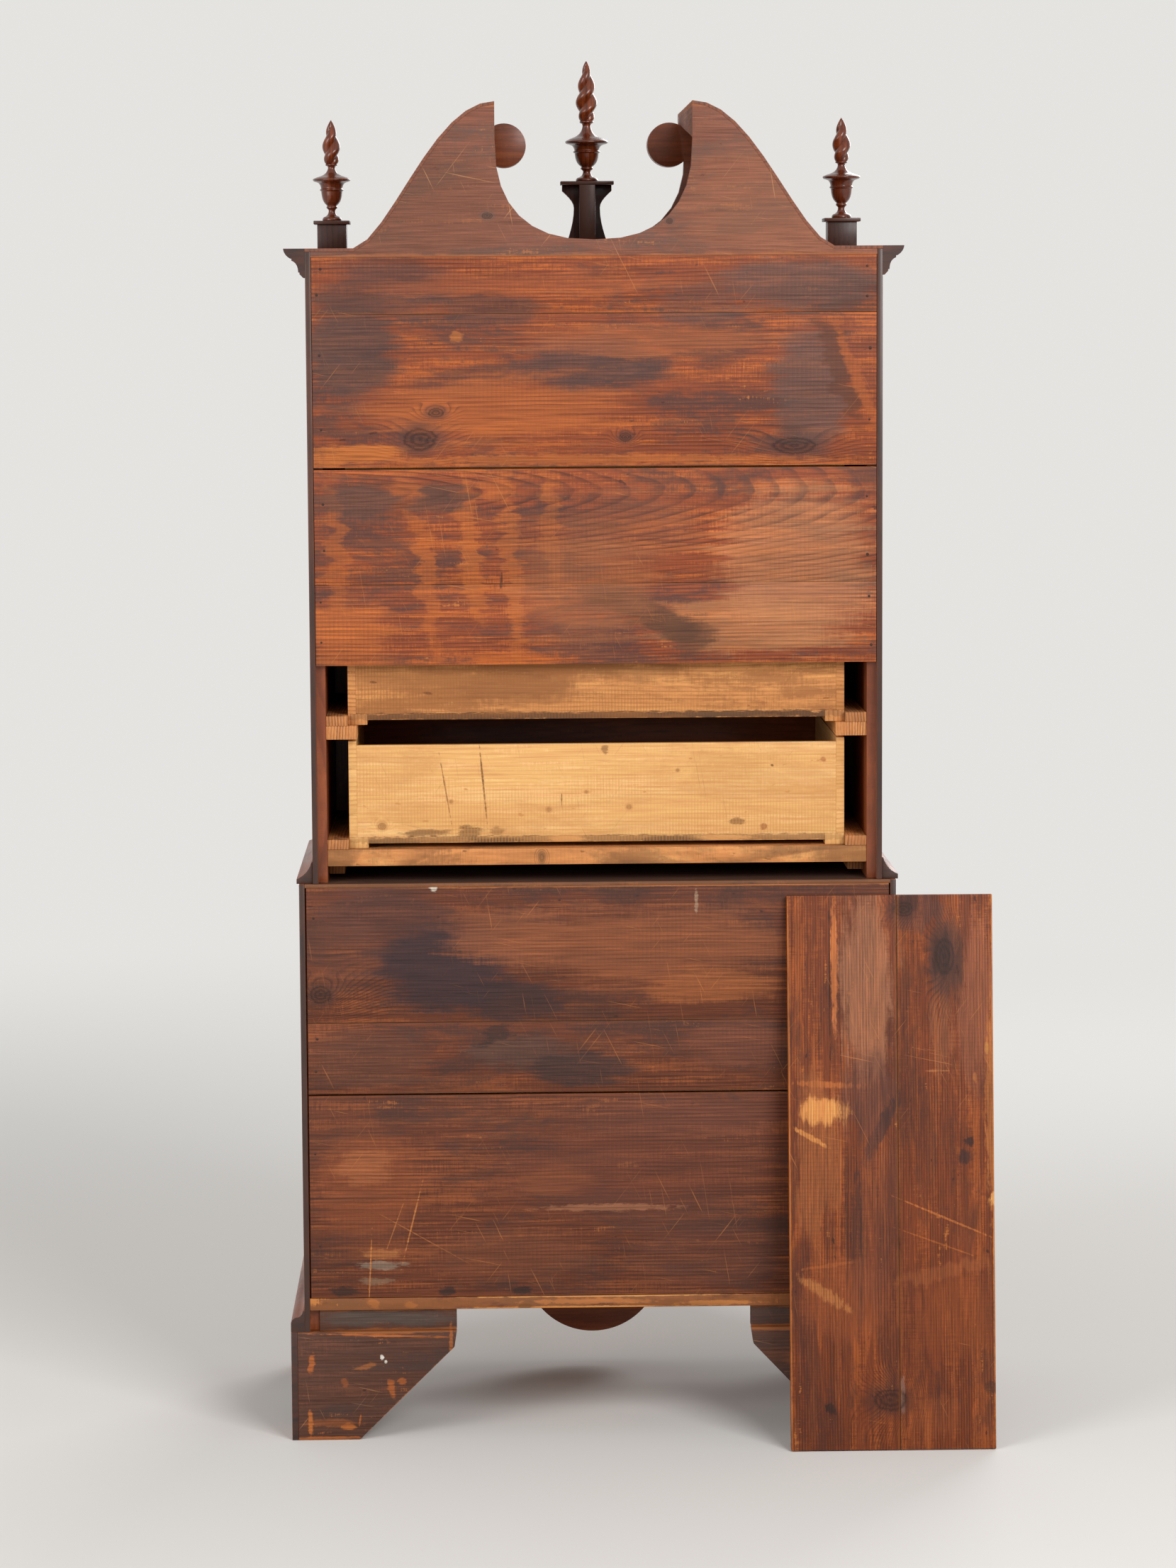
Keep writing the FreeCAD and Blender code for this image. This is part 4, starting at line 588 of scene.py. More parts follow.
class Piece:
    """A mesh in the making, with the attributes that the wood materials read for each board of it."""

    def __init__(self, name):
        self.name = name
        self.points, self.faces, self.look = [], [], []
        self.grain, self.local, self.half, self.board = [], [], [], []

    def add(self, points, faces, axes=None, look=0):
        """Adds a board with its own shift in the grain. Look is its material, or a list for its faces."""
        dice = random.Random(f"{self.name}{len(self.points)}")
        axes = axes or grain_axes(points)
        shift = [dice.uniform(-1.0, 1.0) for _ in range(3)]
        board = dice.random()
        base = len(self.points)
        self.points += [tuple(p) for p in points]
        self.faces += [[base + i for i in face] for face in faces]
        self.look += look if isinstance(look, list) else [look] * len(faces)
        low, high = ([end(p[axis] for p in points) for axis in axes] for end in (min, max))
        self.grain += [[p[axes[i]] + shift[i] for i in range(3)] for p in points]
        self.local += [[p[axes[i]] - (low[i] + high[i]) / 2 for i in range(3)] for p in points]
        self.half += [[(high[i] - low[i]) / 2 for i in range(3)]] * len(points)
        self.board += [board] * len(points)

    def finish(self, *materials, smooth_deg=35.0):
        """The piece as an object, smooth up to an angle."""
        mesh = bpy.data.meshes.new(self.name)
        mesh.from_pydata(self.points, [], self.faces)
        for name in ("grain", "local", "half"):
            values = [c for vector in getattr(self, name) for c in vector]
            mesh.attributes.new(name, "FLOAT_VECTOR", "POINT").data.foreach_set("vector", values)
        mesh.attributes.new("board", "FLOAT", "POINT").data.foreach_set("value", self.board)
        mesh.shade_smooth()
        mesh.set_sharp_from_angle(angle=math.radians(smooth_deg))
        for material in materials:
            mesh.materials.append(material)
        mesh.polygons.foreach_set("material_index", self.look)
        mesh.validate()
        obj = bpy.data.objects.new(self.name, mesh)
        bpy.context.scene.collection.objects.link(obj)
        return obj


def eased(points, faces, ease, segments=2):
    """A solid with its sharp edges rounded over by hand and time."""
    bm = bmesh.new()
    verts = [bm.verts.new(p) for p in points]
    for face in faces:
        try:
            bm.faces.new([verts[i] for i in face])
        except ValueError:
            # This face is there already.
            continue
    bmesh.ops.recalc_face_normals(bm, faces=bm.faces)
    bmesh.ops.dissolve_limit(bm, angle_limit=FLAT, verts=bm.verts, edges=bm.edges)
    if ease > 0:
        edges = [e for e in bm.edges if len(e.link_faces) == 2 and e.calc_face_angle(0.0) > SHARP]
        bmesh.ops.bevel(bm, geom=edges, offset=ease, segments=segments, profile=0.5, affect="EDGES",
                        clamp_overlap=True)
    bmesh.ops.triangulate(bm, faces=[f for f in bm.faces if len(f.verts) > 4])
    bm.verts.index_update()
    result = [v.co.copy() for v in bm.verts], [[v.index for v in f.verts] for f in bm.faces]
    bm.free()
    return result


def place_piece(obj, node):
    """Rides on the node's body and stands for the node, which it hides."""
    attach(obj, BODY_OF[node])
    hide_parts(node)


def ease_node(node, material, ease, facing=None):
    """The node's solids with eased edges. Facing is the material of their front edges, if it differs."""
    piece = Piece(node + "_eased")
    for points, faces in solids_of(node):
        points, faces = eased(points, faces, ease)
        front = min(p.y for p in points) + 2 * ease
        look = [int(facing is not None and all(points[i].y < front for i in face)) for face in faces]
        piece.add(points, faces, look=look)
    place_piece(piece.finish(material, *([facing] if facing else [])), node)


# ---- Rules: forms that repeat or follow a path --------------------------------------------------------
def new_rule(name, given):
    """A geometry rule with named inputs. Gives its tree, its inputs by name and a function that closes it."""
    tree = bpy.data.node_groups.new(name, "GeometryNodeTree")
    tree.interface.new_socket("Geometry", in_out="OUTPUT", socket_type="NodeSocketGeometry")
    tree.interface.new_socket("Geometry", in_out="INPUT", socket_type="NodeSocketGeometry")
    kinds = {float: "NodeSocketFloat", int: "NodeSocketInt", str: "NodeSocketObject"}
    for label, value in given.items():
        socket = tree.interface.new_socket(label, in_out="INPUT", socket_type=kinds[type(value)])
        if not isinstance(value, str):
            socket.default_value = value
    start = add(tree, "NodeGroupInput").socket.node

    def close(geometry, material):
        real = add(tree, "GeometryNodeRealizeInstances", {"Geometry": geometry})
        dressed = add(tree, "GeometryNodeSetMaterial", {"Geometry": real, "Material": material})
        add(tree, "NodeGroupOutput", {0: dressed})
        return tree

    return tree, {socket.name: Field(socket) for socket in start.outputs}, close


def grow(tree, points, edges, values, move=(0, 0, 0)):
    """Runs a rule on some points and gives the mesh's points and faces, moved into place."""
    mesh = bpy.data.meshes.new("seed")
    mesh.from_pydata(points, edges, [])
    obj = bpy.data.objects.new("seed", mesh)
    bpy.context.scene.collection.objects.link(obj)
    modifier = obj.modifiers.new("rule", "NODES")
    modifier.node_group = tree
    for item in tree.interface.items_tree:
        if item.in_out == "INPUT" and item.name in values:
            modifier[item.identifier] = values[item.name]
    bpy.context.view_layer.update()
    grown = bpy.data.meshes.new_from_object(obj.evaluated_get(bpy.context.evaluated_depsgraph_get()))
    obj.modifiers.clear()
    found = [v.co + Vector(move) for v in grown.vertices], [list(p.vertices) for p in grown.polygons]
    bpy.data.objects.remove(obj)
    for used in (mesh, grown):
        bpy.data.meshes.remove(used)
    return found


# How full a flame is as it climbs, as a share of its radius.
FLAME_SWELL = [(0, 0.6), (0.09, 0.84), (0.18, 0.96), (0.27, 1.0), (0.36, 0.98), (0.55, 0.84), (0.73, 0.62),
               (0.88, 0.35), (0.96, 0.17), (1.0, 0.03)]


def flame_rule(material):
    """A corkscrew flame: a skin drawn in to strands that turn as they climb, and closed to a tip."""
    tree, given, close = new_rule("Corkscrew flame", {"Height": 0.1, "Radius": 0.018, "Turns": 1.6,
                                                      "Strands": 2, "Valley": 0.4})
    shape = {"Vertices": 40, "Side Segments": 72, "Radius": 1.0, "Depth": 1.0}
    skin = add(tree, "GeometryNodeMeshCylinder", shape, give="Mesh", fill_type="TRIANGLE_FAN")
    x, y, z = add(tree, "GeometryNodeInputPosition").parts()
    climb = z + 0.5
    angle = y.reckon("ARCTAN2", x)
    out = (x ** 2.0 + y ** 2.0).reckon("SQRT")
    swell = add(tree, "ShaderNodeFloatCurve", {"Value": climb})
    mapping = swell.socket.node.mapping
    curve = mapping.curves[0]
    curve.points[0].location, curve.points[1].location = FLAME_SWELL[0], FLAME_SWELL[-1]
    for stop in FLAME_SWELL[1:-1]:
        curve.points.new(*stop)
    mapping.update()
    # Seen end on, the strands are rounds side by side: each bulges, and they meet in a sharp valley.
    ridge = (angle * (given["Strands"] / 2.0)).reckon("COSINE").reckon("ABSOLUTE")
    valley = (1.0 - given["Valley"]) ** 2.0
    off = valley * -0.5 + 0.5
    bulge = (valley * 0.5 + 0.5) ** 2.0 - off ** 2.0 * (1.0 - ridge ** 2.0)
    radius = given["Radius"] * swell * (off * ridge + bulge.reckon("SQRT")) * out
    turn = climb * given["Turns"] * (2 * math.pi) + angle
    place = add(tree, "ShaderNodeCombineXYZ", {0: radius * turn.reckon("COSINE"),
                                               1: radius * turn.reckon("SINE"), 2: climb * given["Height"]})
    moved = add(tree, "GeometryNodeSetPosition", {"Geometry": skin, "Position": place})
    return close(moved, material)


def nail_rule(material):
    """Forged nail heads on a board's face, each turned and sized a little differently."""
    tree, given, close = new_rule("Forged nail heads", {"Width": 0.006, "Seed": 7})
    shape = {"Vertices": 7, "Radius Top": 0.2, "Radius Bottom": 0.5, "Depth": 0.2}
    head = add(tree, "GeometryNodeMeshCone", shape, give="Mesh")
    flat = add(tree, "GeometryNodeTransform", {"Geometry": head, "Rotation": (-math.pi / 2, 0, 0)})
    turns = {"Seed": given["Seed"], 0: (0, 0, 0), 1: (0, 6.28, 0)}
    spin = add(tree, "FunctionNodeRandomValue", turns, data_type="FLOAT_VECTOR")
    sizes = {"Seed": given["Seed"], 2: 0.8, 3: 1.2}
    size = add(tree, "FunctionNodeRandomValue", sizes, give=1, data_type="FLOAT")
    nails = add(tree, "GeometryNodeInstanceOnPoints", {"Points": given["Geometry"], "Instance": flat,
                                                       "Rotation": spin, "Scale": size * given["Width"]})
    return close(nails, material)


def sweep_rule(material):
    """A moulding run along a path on the front, its section square to the path and its start mitred."""
    tree, given, close = new_rule("Moulding along a path", {"Section": "object", "Corner X": 0.46,
                                                            "Front Y": -0.23})
    path = add(tree, "GeometryNodeMeshToCurve", {"Mesh": given["Geometry"]})
    path = add(tree, "GeometryNodeSetCurveNormal", {"Curve": path, "Normal": (0.0, -1.0, 0.0)}, mode="FREE")
    section = add(tree, "GeometryNodeObjectInfo", {"Object": given["Section"]}, give="Geometry")
    section = add(tree, "GeometryNodeMeshToCurve", {"Mesh": section})
    skin = add(tree, "GeometryNodeCurveToMesh", {"Curve": path, "Profile Curve": section, "Fill Caps": True})
    # The mitre: whatever lies past the corner is drawn back to the slope through it.
    x, y, z = add(tree, "GeometryNodeInputPosition").parts()
    slope = given["Corner X"] + (given["Front Y"] - y)
    place = add(tree, "ShaderNodeCombineXYZ", {0: slope, 1: y, 2: z})
    past = x > given["Corner X"] + 0.0005
    cut = add(tree, "GeometryNodeSetPosition", {"Geometry": skin, "Selection": past, "Position": place})
    return close(cut, material)


# ---- Turned and bent forms ------------------------------------------------------------------------------
def box_of(points):
    """The lowest and highest corner of some points."""
    return Vector(map(min, zip(*points))), Vector(map(max, zip(*points)))


def softened(rows, passes=2):
    """A profile with its corners rounded off, its ends kept."""
    for _ in range(passes):
        found = [rows[0]]
        for (r0, h0), (r1, h1) in zip(rows, rows[1:]):
            found += [(0.8 * r0 + 0.2 * r1, 0.8 * h0 + 0.2 * h1), (0.2 * r0 + 0.8 * r1, 0.2 * h0 + 0.8 * h1)]
        rows = found + [rows[-1]]
    return rows


def lathe(rows, sides, turn=None):
    """A closed turning: rows of radius and height, from foot to top. turn places a point of it."""
    turn = turn or (lambda x, y, z: (x, y, z))
    points, faces = [turn(0, 0, rows[0][1])], []
    for radius, height in rows:
        for k in range(sides):
            a = 2 * math.pi * k / sides
            points.append(turn(radius * math.cos(a), radius * math.sin(a), height))
    points.append(turn(0, 0, rows[-1][1]))
    last = len(points) - 1
    for k in range(sides):
        n = (k + 1) % sides
        faces.append([0, 1 + n, 1 + k])
        faces.append([last, last - sides + k, last - sides + n])
        for i in range(len(rows) - 1):
            a, b = 1 + i * sides, 1 + (i + 1) * sides
            faces.append([a + k, a + n, b + n, b + k])
    return points, faces


def tube(path, radii, sides=12):
    """A closed round bar along a path that lies in one upright plane across X."""
    points, faces = [], []
    for i, p in enumerate(path):
        ahead = (path[min(i + 1, len(path) - 1)] - path[max(i - 1, 0)]).normalized()
        side = Vector((0, 1, 0)).cross(ahead).normalized()
        for k in range(sides):
            a = 2 * math.pi * k / sides
            points.append(p + radii[i] * (math.cos(a) * side + math.sin(a) * Vector((0, 1, 0))))
    for i in range(len(path) - 1):
        for k in range(sides):
            n = (k + 1) % sides
            faces.append([i * sides + k, i * sides + n, (i + 1) * sides + n, (i + 1) * sides + k])
    faces += [list(range(sides))[::-1], list(range(len(points) - sides, len(points)))]
    return points, faces


def mirror(points, faces):
    """The same form on the other side of the chest."""
    return [Vector((-p[0], p[1], p[2])) for p in points], [list(f)[::-1] for f in faces]


def outward(points, faces):
    """The faces all turned outwards."""
    bm = bmesh.new()
    verts = [bm.verts.new(p) for p in points]
    for face in faces:
        bm.faces.new([verts[i] for i in face])
    bmesh.ops.recalc_face_normals(bm, faces=bm.faces)
    bm.verts.index_update()
    found = [v.co.copy() for v in bm.verts], [[v.index for v in f.verts] for f in bm.faces]
    bm.free()
    return found


def loops(rows, closed):
    """A skin over rings of points. Closed, the last ring joins the first; else both are filled."""
    points, faces, n = [p for row in rows for p in row], [], len(rows[0])
    for i in range(len(rows) if closed else len(rows) - 1):
        a, b = i * n, (i + 1) % len(rows) * n
        faces += [[a + k, a + (k + 1) % n, b + (k + 1) % n, b + k] for k in range(n)]
    for row in () if closed else (0, len(rows) - 1):
        middle = sum((Vector(p) for p in rows[row]), Vector()) / n
        points.append(middle)
        faces += [[row * n + k, row * n + (k + 1) % n, len(points) - 1] for k in range(n)]
    return outward(points, faces)


# A keyhole: half the width of its slot, how far that runs down, and how high and wide its round head is.
KEY_HALF, KEY_FOOT, KEY_HEAD, KEY_RADIUS = 1.5 * MM, 9 * MM, 4 * MM, 3.2 * MM


def keyhole_reach(a):
    """How far a keyhole's edge is from its middle, at an angle."""
    across, up = math.cos(a), math.sin(a)
    reach = min(KEY_HALF / max(abs(across), 1e-6), KEY_FOOT / max(-up, 1e-6) if up < 0 else KEY_HEAD)
    bulb = (KEY_HEAD * up) ** 2 - KEY_HEAD ** 2 + KEY_RADIUS ** 2
    return max(reach, KEY_HEAD * up + math.sqrt(bulb)) if up > 0 and bulb > 0 else reach


# A quarter of a plate's outline, in shares of its width and height.
PLATE_QUARTER = [
    (0.5, 0.0), (0.499, 0.04), (0.487, 0.08), (0.46, 0.11), (0.43, 0.13), (0.419, 0.155), (0.425, 0.19),
    (0.445, 0.225), (0.46, 0.265), (0.462, 0.3), (0.448, 0.328), (0.42, 0.338), (0.385, 0.328), (0.345, 0.3),
    (0.305, 0.28), (0.27, 0.285), (0.243, 0.315), (0.22, 0.36), (0.18, 0.4), (0.13, 0.422), (0.09, 0.435),
    (0.065, 0.455), (0.045, 0.48), (0.022, 0.495), (0.0, 0.5)]


def back_plate(low, high, pierced):
    """A cast plate with a lobed outline, a bevelled edge and a raised border. Pierced, it has a keyhole."""
    top = PLATE_QUARTER + [(-x, z) for x, z in reversed(PLATE_QUARTER[:-1])]
    ring = top + [(x, -z) for x, z in reversed(top[1:-1])]
    middle, size = (low + high) / 2, high - low

    def row(y, inset):
        wide, tall = size.x - 2 * inset, size.z - 2 * inset
        return [Vector((middle.x + x * wide, y, middle.z + z * tall)) for x, z in ring]

    # The edge, its bevel, the raised border and the face, which lies a little lower.
    face = low.y + 0.4 * MM
    rows = [row(high.y, 0.0), row(low.y + 0.6 * MM, 0.0), row(low.y, 0.7 * MM), row(low.y, 2.2 * MM),
            row(face, 3 * MM)]
    if pierced:
        angles = [math.atan2(z * size.z, x * size.x) for x, z in ring]
        for y in (face, high.y):
            rows.append([Vector((middle.x + r * math.cos(a), y, middle.z + r * math.sin(a)))
                         for a, r in ((a, keyhole_reach(a)) for a in angles)])
    return loops(rows, pierced)


def bail_post(low, high, bore, sides=24):
    """A turned stem and the bored eye that it carries, as two solids. The bore runs along X."""
    middle, half = (low + high) / 2, (high.z - low.z) / 2
    eye = low.y + half + 0.5 * MM
    # The stem: a flange on the plate and a waist, up to the bore's wall.
    stem = [(4.8 * MM, 0), (4.8 * MM, 0.7 * MM), (4 * MM, 1.4 * MM), (2.6 * MM, 2.2 * MM),
            (2.1 * MM, 3.5 * MM), (2.3 * MM, high.y - eye - bore - 0.2 * MM)]
    turned = lathe(softened(stem, 1), 20, lambda x, y, z: (middle.x + x, high.y - z, middle.z + y))
    section = [(bore, -0.8), (bore, 0.8), (half * 0.72, 1.0), (half * 0.92, 0.75), (half, 0.3), (half, -0.3),
               (half * 0.92, -0.75), (half * 0.72, -1.0)]
    rows = []
    for k in range(sides):
        a = 2 * math.pi * k / sides
        rows.append([Vector((middle.x + x * half * 0.8, eye + r * math.cos(a), middle.z + r * math.sin(a)))
                     for r, x in section])
    return outward(*turned), loops(rows, True)


def swan_bail(low, high, pin):
    """A cast bail: pins in the eyes, arms that turn down from them and a grip that swells at its middle."""
    middle, thick = (low + high) / 2, (high.y - low.y) / 2
    arm, drop = (high.x - low.x) / 2 - thick, high.z - low.z - 2 * thick
    # Half of it, from the pin's end to the middle of the grip: shares of reach and drop, and a radius.
    half = [(0.774, 0.0, pin), (0.91, 0.0, pin), (0.955, 0.006, pin * 1.1), (0.988, 0.03, thick * 0.9),
            (1.0, 0.08, thick * 0.92), (1.0, 0.2, thick * 0.8), (0.995, 0.4, thick * 0.78),
            (0.97, 0.55, thick * 0.85), (0.92, 0.68, thick), (0.885, 0.735, thick * 0.98),
            (0.82, 0.8, thick * 0.72), (0.7, 0.875, thick * 0.75), (0.52, 0.94, thick * 0.85),
            (0.3, 0.98, thick * 0.96), (0.1, 0.998, thick)]
    line = [(x, z, r) for x, z, r in half] + [(-x, z, r) for x, z, r in reversed(half)]
    for _ in range(2):
        line = [line[0]] + [tuple(0.75 * a + 0.25 * b if i else 0.25 * a + 0.75 * b for a, b in zip(p, q))
                            for p, q in zip(line, line[1:]) for i in (1, 0)] + [line[-1]]
    path = [Vector((middle.x + x * arm, middle.y, high.z - thick - z * drop)) for x, z, _ in line]
    return outward(*tube(path, [r for _, _, r in line], 14))


def quarter_column(radius, foot, head, settings):
    """A quarter of a column about the origin, towards +X and -Y, with stopped flutes in its shaft."""
    base, inset, flute = settings.base_height, settings.shaft_inset, settings.flute_radius
    shaft, count, steps = radius - inset, settings.flutes, 14
    # The base: a plinth, a torus between fillets, a cove and a fillet, as radii and shares of its height.
    turning = [(radius, 0.0), (radius, 0.3), (radius - 0.0016, 0.32), (radius - 0.0016, 0.35),
               (radius - 0.0004, 0.4), (radius, 0.45), (radius - 0.0004, 0.5), (radius - 0.0014, 0.55),
               (shaft + 0.0014, 0.57), (shaft + 0.0014, 0.61), (shaft + 0.0006, 0.66), (shaft + 0.0002, 0.74),
               (shaft + 0.0003, 0.76), (shaft + 0.0014, 0.78), (shaft + 0.0014, 0.83), (shaft, 0.85)]
    rows = [(foot + base * h, r, 0.0) for r, h in turning]
    start, end = foot + base + flute, head - base - flute
    for i in range(7):
        a = i * math.pi / 12
        rows.append((start + flute * (1 - math.cos(a)), shaft, flute * math.sin(a)))
    rows += [(start + end - z, r, cut) for z, r, cut in rows[:len(turning) - 1:-1]]
    rows += [(head - base * h, r, 0.0) for r, h in reversed(turning)]
    points, faces = [], []
    for z, r, cut in rows:
        points.append((0.0, 0.0, z))
        for k in range(count * steps + 1):
            a = math.pi / 2 * k / (count * steps)
            off = r * math.pi / 2 / count * ((k % steps) / steps - 0.5)
            out = r - math.sqrt(max(0.0, cut * cut - off * off))
            points.append((out * math.cos(a), -out * math.sin(a), z))
    width = count * steps + 2
    for i in range(len(rows) - 1):
        for k in range(width):
            n = (k + 1) % width
            faces.append([i * width + k, i * width + n, (i + 1) * width + n, (i + 1) * width + k])
    for i in (0, len(rows) - 1):
        faces += [[i * width, i * width + k, i * width + k + 1] for k in range(1, width - 1)]
    return points, faces


# ---- Settings and operators --------------------------------------------------------------------------------
# The wood of each node that is dressed as it is, and the radius of its edges in millimetres.
NODE_LOOK = {
    "lower_case_sides": ("cherry", 1.0), "upper_case_sides": ("cherry", 1.0),
    "lower_case_top_board": ("floor", 1.0), "lower_case_bottom_board": ("base", 1.5),
    "upper_case_top_board": ("inside", 1.0), "upper_case_bottom_board": ("inside", 1.5),
    "lower_case_backboards": ("low_back", 0.8), "upper_case_backboards": ("back", 0.8),
    "loose_backboard": ("loose", 1.2), "lower_drawer_dividers": ("cherry", 0.5),
    "upper_drawer_dividers": ("cherry", 0.5), "lower_drawer_runners": ("inside", 1.2),
    "upper_drawer_runners": ("inside", 1.2), "mid_moulding": ("cherry", 0.6), "base_moulding": ("cherry", 0.8),
    "foot_blocks": ("feet", 2.0), "skirt_drop": ("cherry", 0.8),
    "front_scroll_board": ("cherry", 0.8), "rear_scroll_board": ("hood", 0.8), "bonnet_boards": ("hood", 0.3),
    "finial_plinths": ("plinth", 0.8),
}
# Solids that share a node: a stile is narrower than a column, a post is lower than a plate, and an escutcheon
# is narrower than a back plate.
STILE_LIMIT, POST_LIMIT, ESCUTCHEON_LIMIT = 0.03, 0.02, 0.06
# Two nails hold each end of a backboard, this far in and this far out of line.
NAIL_PAIR, NAIL_MARGIN, NAIL_DRIFT_Z, NAIL_DRIFT_X = 2, 0.012, 0.012, 0.004
SCROLL_STEPS = 48


class BonnetSettings(bpy.types.PropertyGroup):
    """The scrolls of the hood and the flames on it"""
    scroll_flat: FloatProperty(name="Flat", description="Level run of the cornice before the scroll",
                               default=0.077, unit="LENGTH")
    scroll_end: FloatProperty(name="Scroll end", description="Distance of the scroll's end from the middle",
                              default=0.157, unit="LENGTH")
    scroll_rise: FloatProperty(name="Rise", description="Height of the scroll above the cornice", default=0.23,
                               unit="LENGTH")
    fullness: FloatProperty(name="Fullness", description="Under 1 the scroll swells towards its top",
                            default=0.8)
    flame_pitch: FloatProperty(name="Flame pitch", description="Climb of a flame's strand in one turn",
                               default=0.0622, unit="LENGTH")
    flame_valley: FloatProperty(name="Flame valley", description="Depth between strands, against the radius",
                                default=0.4, subtype="FACTOR", min=0.0, max=0.9)


class ColumnSettings(bpy.types.PropertyGroup):
    """The fluted quarter columns"""
    flutes: IntProperty(name="Flutes", description="Flutes in each quarter column", default=5, min=1)
    flute_radius: FloatProperty(name="Flute radius", description="Radius of a flute", default=0.0026,
                                unit="LENGTH")
    base_height: FloatProperty(name="Base", description="Height of a column's base and of its capital",
                               default=0.046, unit="LENGTH")
    shaft_inset: FloatProperty(name="Shaft inset", description="How far the shaft stands in from the base",
                               default=0.004, unit="LENGTH")


class HardwareSettings(bpy.types.PropertyGroup):
    """Brasses and nails"""
    pin_radius: FloatProperty(name="Pins", description="Radius of the pins that a bail swings on",
                              default=0.0018, unit="LENGTH")
    pin_fit: FloatProperty(name="Pin fit", description="Play of a pin in its eye", default=0.0003,
                           unit="LENGTH")
    nail_width: FloatProperty(name="Nail heads", description="Width of a forged nail head", default=0.0045,
                              unit="LENGTH")
    nail_seed: IntProperty(name="Nail seed", description="Another turn and size for each nail head", default=7)


class ColourSettings(bpy.types.PropertyGroup):
    """Colours that are plain"""
    brass: FloatVectorProperty(name="Brass", description="Colour of the brasses",
                               default=linear("#c79b4b")[:3], subtype="COLOR", min=0.0, max=1.0)
    floor: FloatVectorProperty(name="Floor", description="Colour of the plain floor and backdrop",
                               default=(0.78, 0.77, 0.75), subtype="COLOR", min=0.0, max=1.0)


class StageSettings(bpy.types.PropertyGroup):
    """The lights"""
    key_watts: FloatProperty(name="Key light", description="Power of the large soft light", default=190.0,
                             unit="POWER")
    fill_watts: FloatProperty(name="Fill light", description="Power of the soft light in front", default=110.0,
                              unit="POWER")


class CHEST_OT_case(bpy.types.Operator):
    """Cases, backboards and feet, with eased edges and their own grain"""
    bl_idname = "chest.case"
    bl_label = "Cases"

    def execute(self, context):
        for node, (look, ease) in NODE_LOOK.items():
            # The case boards are pine, faced with show wood where they come to the front.
            facing = MATERIALS["cherry"] if look in ("floor", "base", "inside") else None
            ease_node(node, MATERIALS[look], ease * MM, facing=facing)
        # The brackets at the front and sides are show wood; the two at the back are pine.
        feet = Piece("bracket_feet_eased")
        for points, faces in solids_of("bracket_feet"):
            low, high = box_of(points)
            feet.add(*eased(points, faces, 1.2 * MM), look=int(low.y > 0 and high.x - low.x > high.y - low.y))
        place_piece(feet.finish(MATERIALS["cherry"], MATERIALS["feet"]), "bracket_feet")
        return {"FINISHED"}


class CHEST_OT_columns(bpy.types.Operator):
    """Fluted quarter columns with turned bases and capitals"""
    bl_idname = "chest.columns"
    bl_label = "Quarter columns"

    def execute(self, context):
        settings = context.scene.chest_columns
        for case in ("lower", "upper"):
            piece = Piece(case + "_columns_turned")
            for points, faces in solids_of(case + "_quarter_columns"):
                low, high = box_of(points)
                if high.x - low.x < STILE_LIMIT:
                    piece.add(*eased(points, faces, 0.4 * MM))
                    continue
                made = quarter_column(high.x - low.x, low.z, high.z, settings)
                side = 1 if low.x > 0 else -1
                axis = Vector((low.x if side > 0 else high.x, high.y, 0.0))
                points = [axis + Vector((side * x, y, z)) for x, y, z in made[0]]
                piece.add(*outward(points, made[1]), (2, 0, 1))
            place_piece(piece.finish(MATERIALS["cherry"], smooth_deg=50.0), case + "_quarter_columns")
        return {"FINISHED"}


class CHEST_OT_drawers(bpy.types.Operator):
    """Eight drawers with their linings, back plates and bails"""
    bl_idname = "chest.drawers"
    bl_label = "Drawers"

    def execute(self, context):
        settings = context.scene.chest_hardware
        for name in DRAWERS:
            ease_node(name + "_front", MATERIALS["cherry"], 0.5 * MM)
            # Upper drawer 4 takes the darker lining, which is partly painted shade.
            lining = "shaded_brown_drawer" if name == "upper_drawer_4" else "drawer"
            ease_node(name + "_box", MATERIALS[lining], 0.6 * MM)
            brasses = Piece(name + "_brasses_cast")
            for points, _ in solids_of(name + "_brasses"):
                low, high = box_of(points)
                if high.z - low.z < POST_LIMIT:
                    for made in bail_post(low, high, settings.pin_radius + settings.pin_fit):
                        brasses.add(*made)
                else:
                    brasses.add(*back_plate(low, high, high.x - low.x < ESCUTCHEON_LIMIT))
            place_piece(brasses.finish(MATERIALS["brass"], smooth_deg=22.0), name + "_brasses")
            bails = Piece(name + "_bails_cast")
            for points, _ in solids_of(name + "_bails"):
                bails.add(*swan_bail(*box_of(points), settings.pin_radius))
            place_piece(bails.finish(MATERIALS["brass"], smooth_deg=60.0), name + "_bails")
        return {"FINISHED"}


class CHEST_OT_nails(bpy.types.Operator):
    """Forged nail heads along the ends of the backboards"""
    bl_idname = "chest.nails"
    bl_label = "Nail heads"

    def execute(self, context):
        settings = context.scene.chest_hardware
        rule = nail_rule(MATERIALS["iron"])
        dice = random.Random(3)
        for node in ("lower_case_backboards", "upper_case_backboards"):
            seats = []
            for points, _ in solids_of(node):
                low, high = box_of(points)
                for x in (low.x + NAIL_MARGIN, high.x - NAIL_MARGIN):
                    for i in range(NAIL_PAIR):
                        z = low.z + (high.z - low.z) * (i + 0.5) / NAIL_PAIR
                        z += dice.uniform(-NAIL_DRIFT_Z, NAIL_DRIFT_Z)
                        seats.append((x + dice.uniform(-NAIL_DRIFT_X, NAIL_DRIFT_X), high.y + 0.1 * MM, z))
            piece = Piece(node + "_nails")
            piece.add(*grow(rule, seats, [], {"Width": settings.nail_width, "Seed": settings.nail_seed}))
            obj = piece.finish(MATERIALS["iron"], smooth_deg=60.0)
            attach(obj, BODY_OF[node])
        return {"FINISHED"}


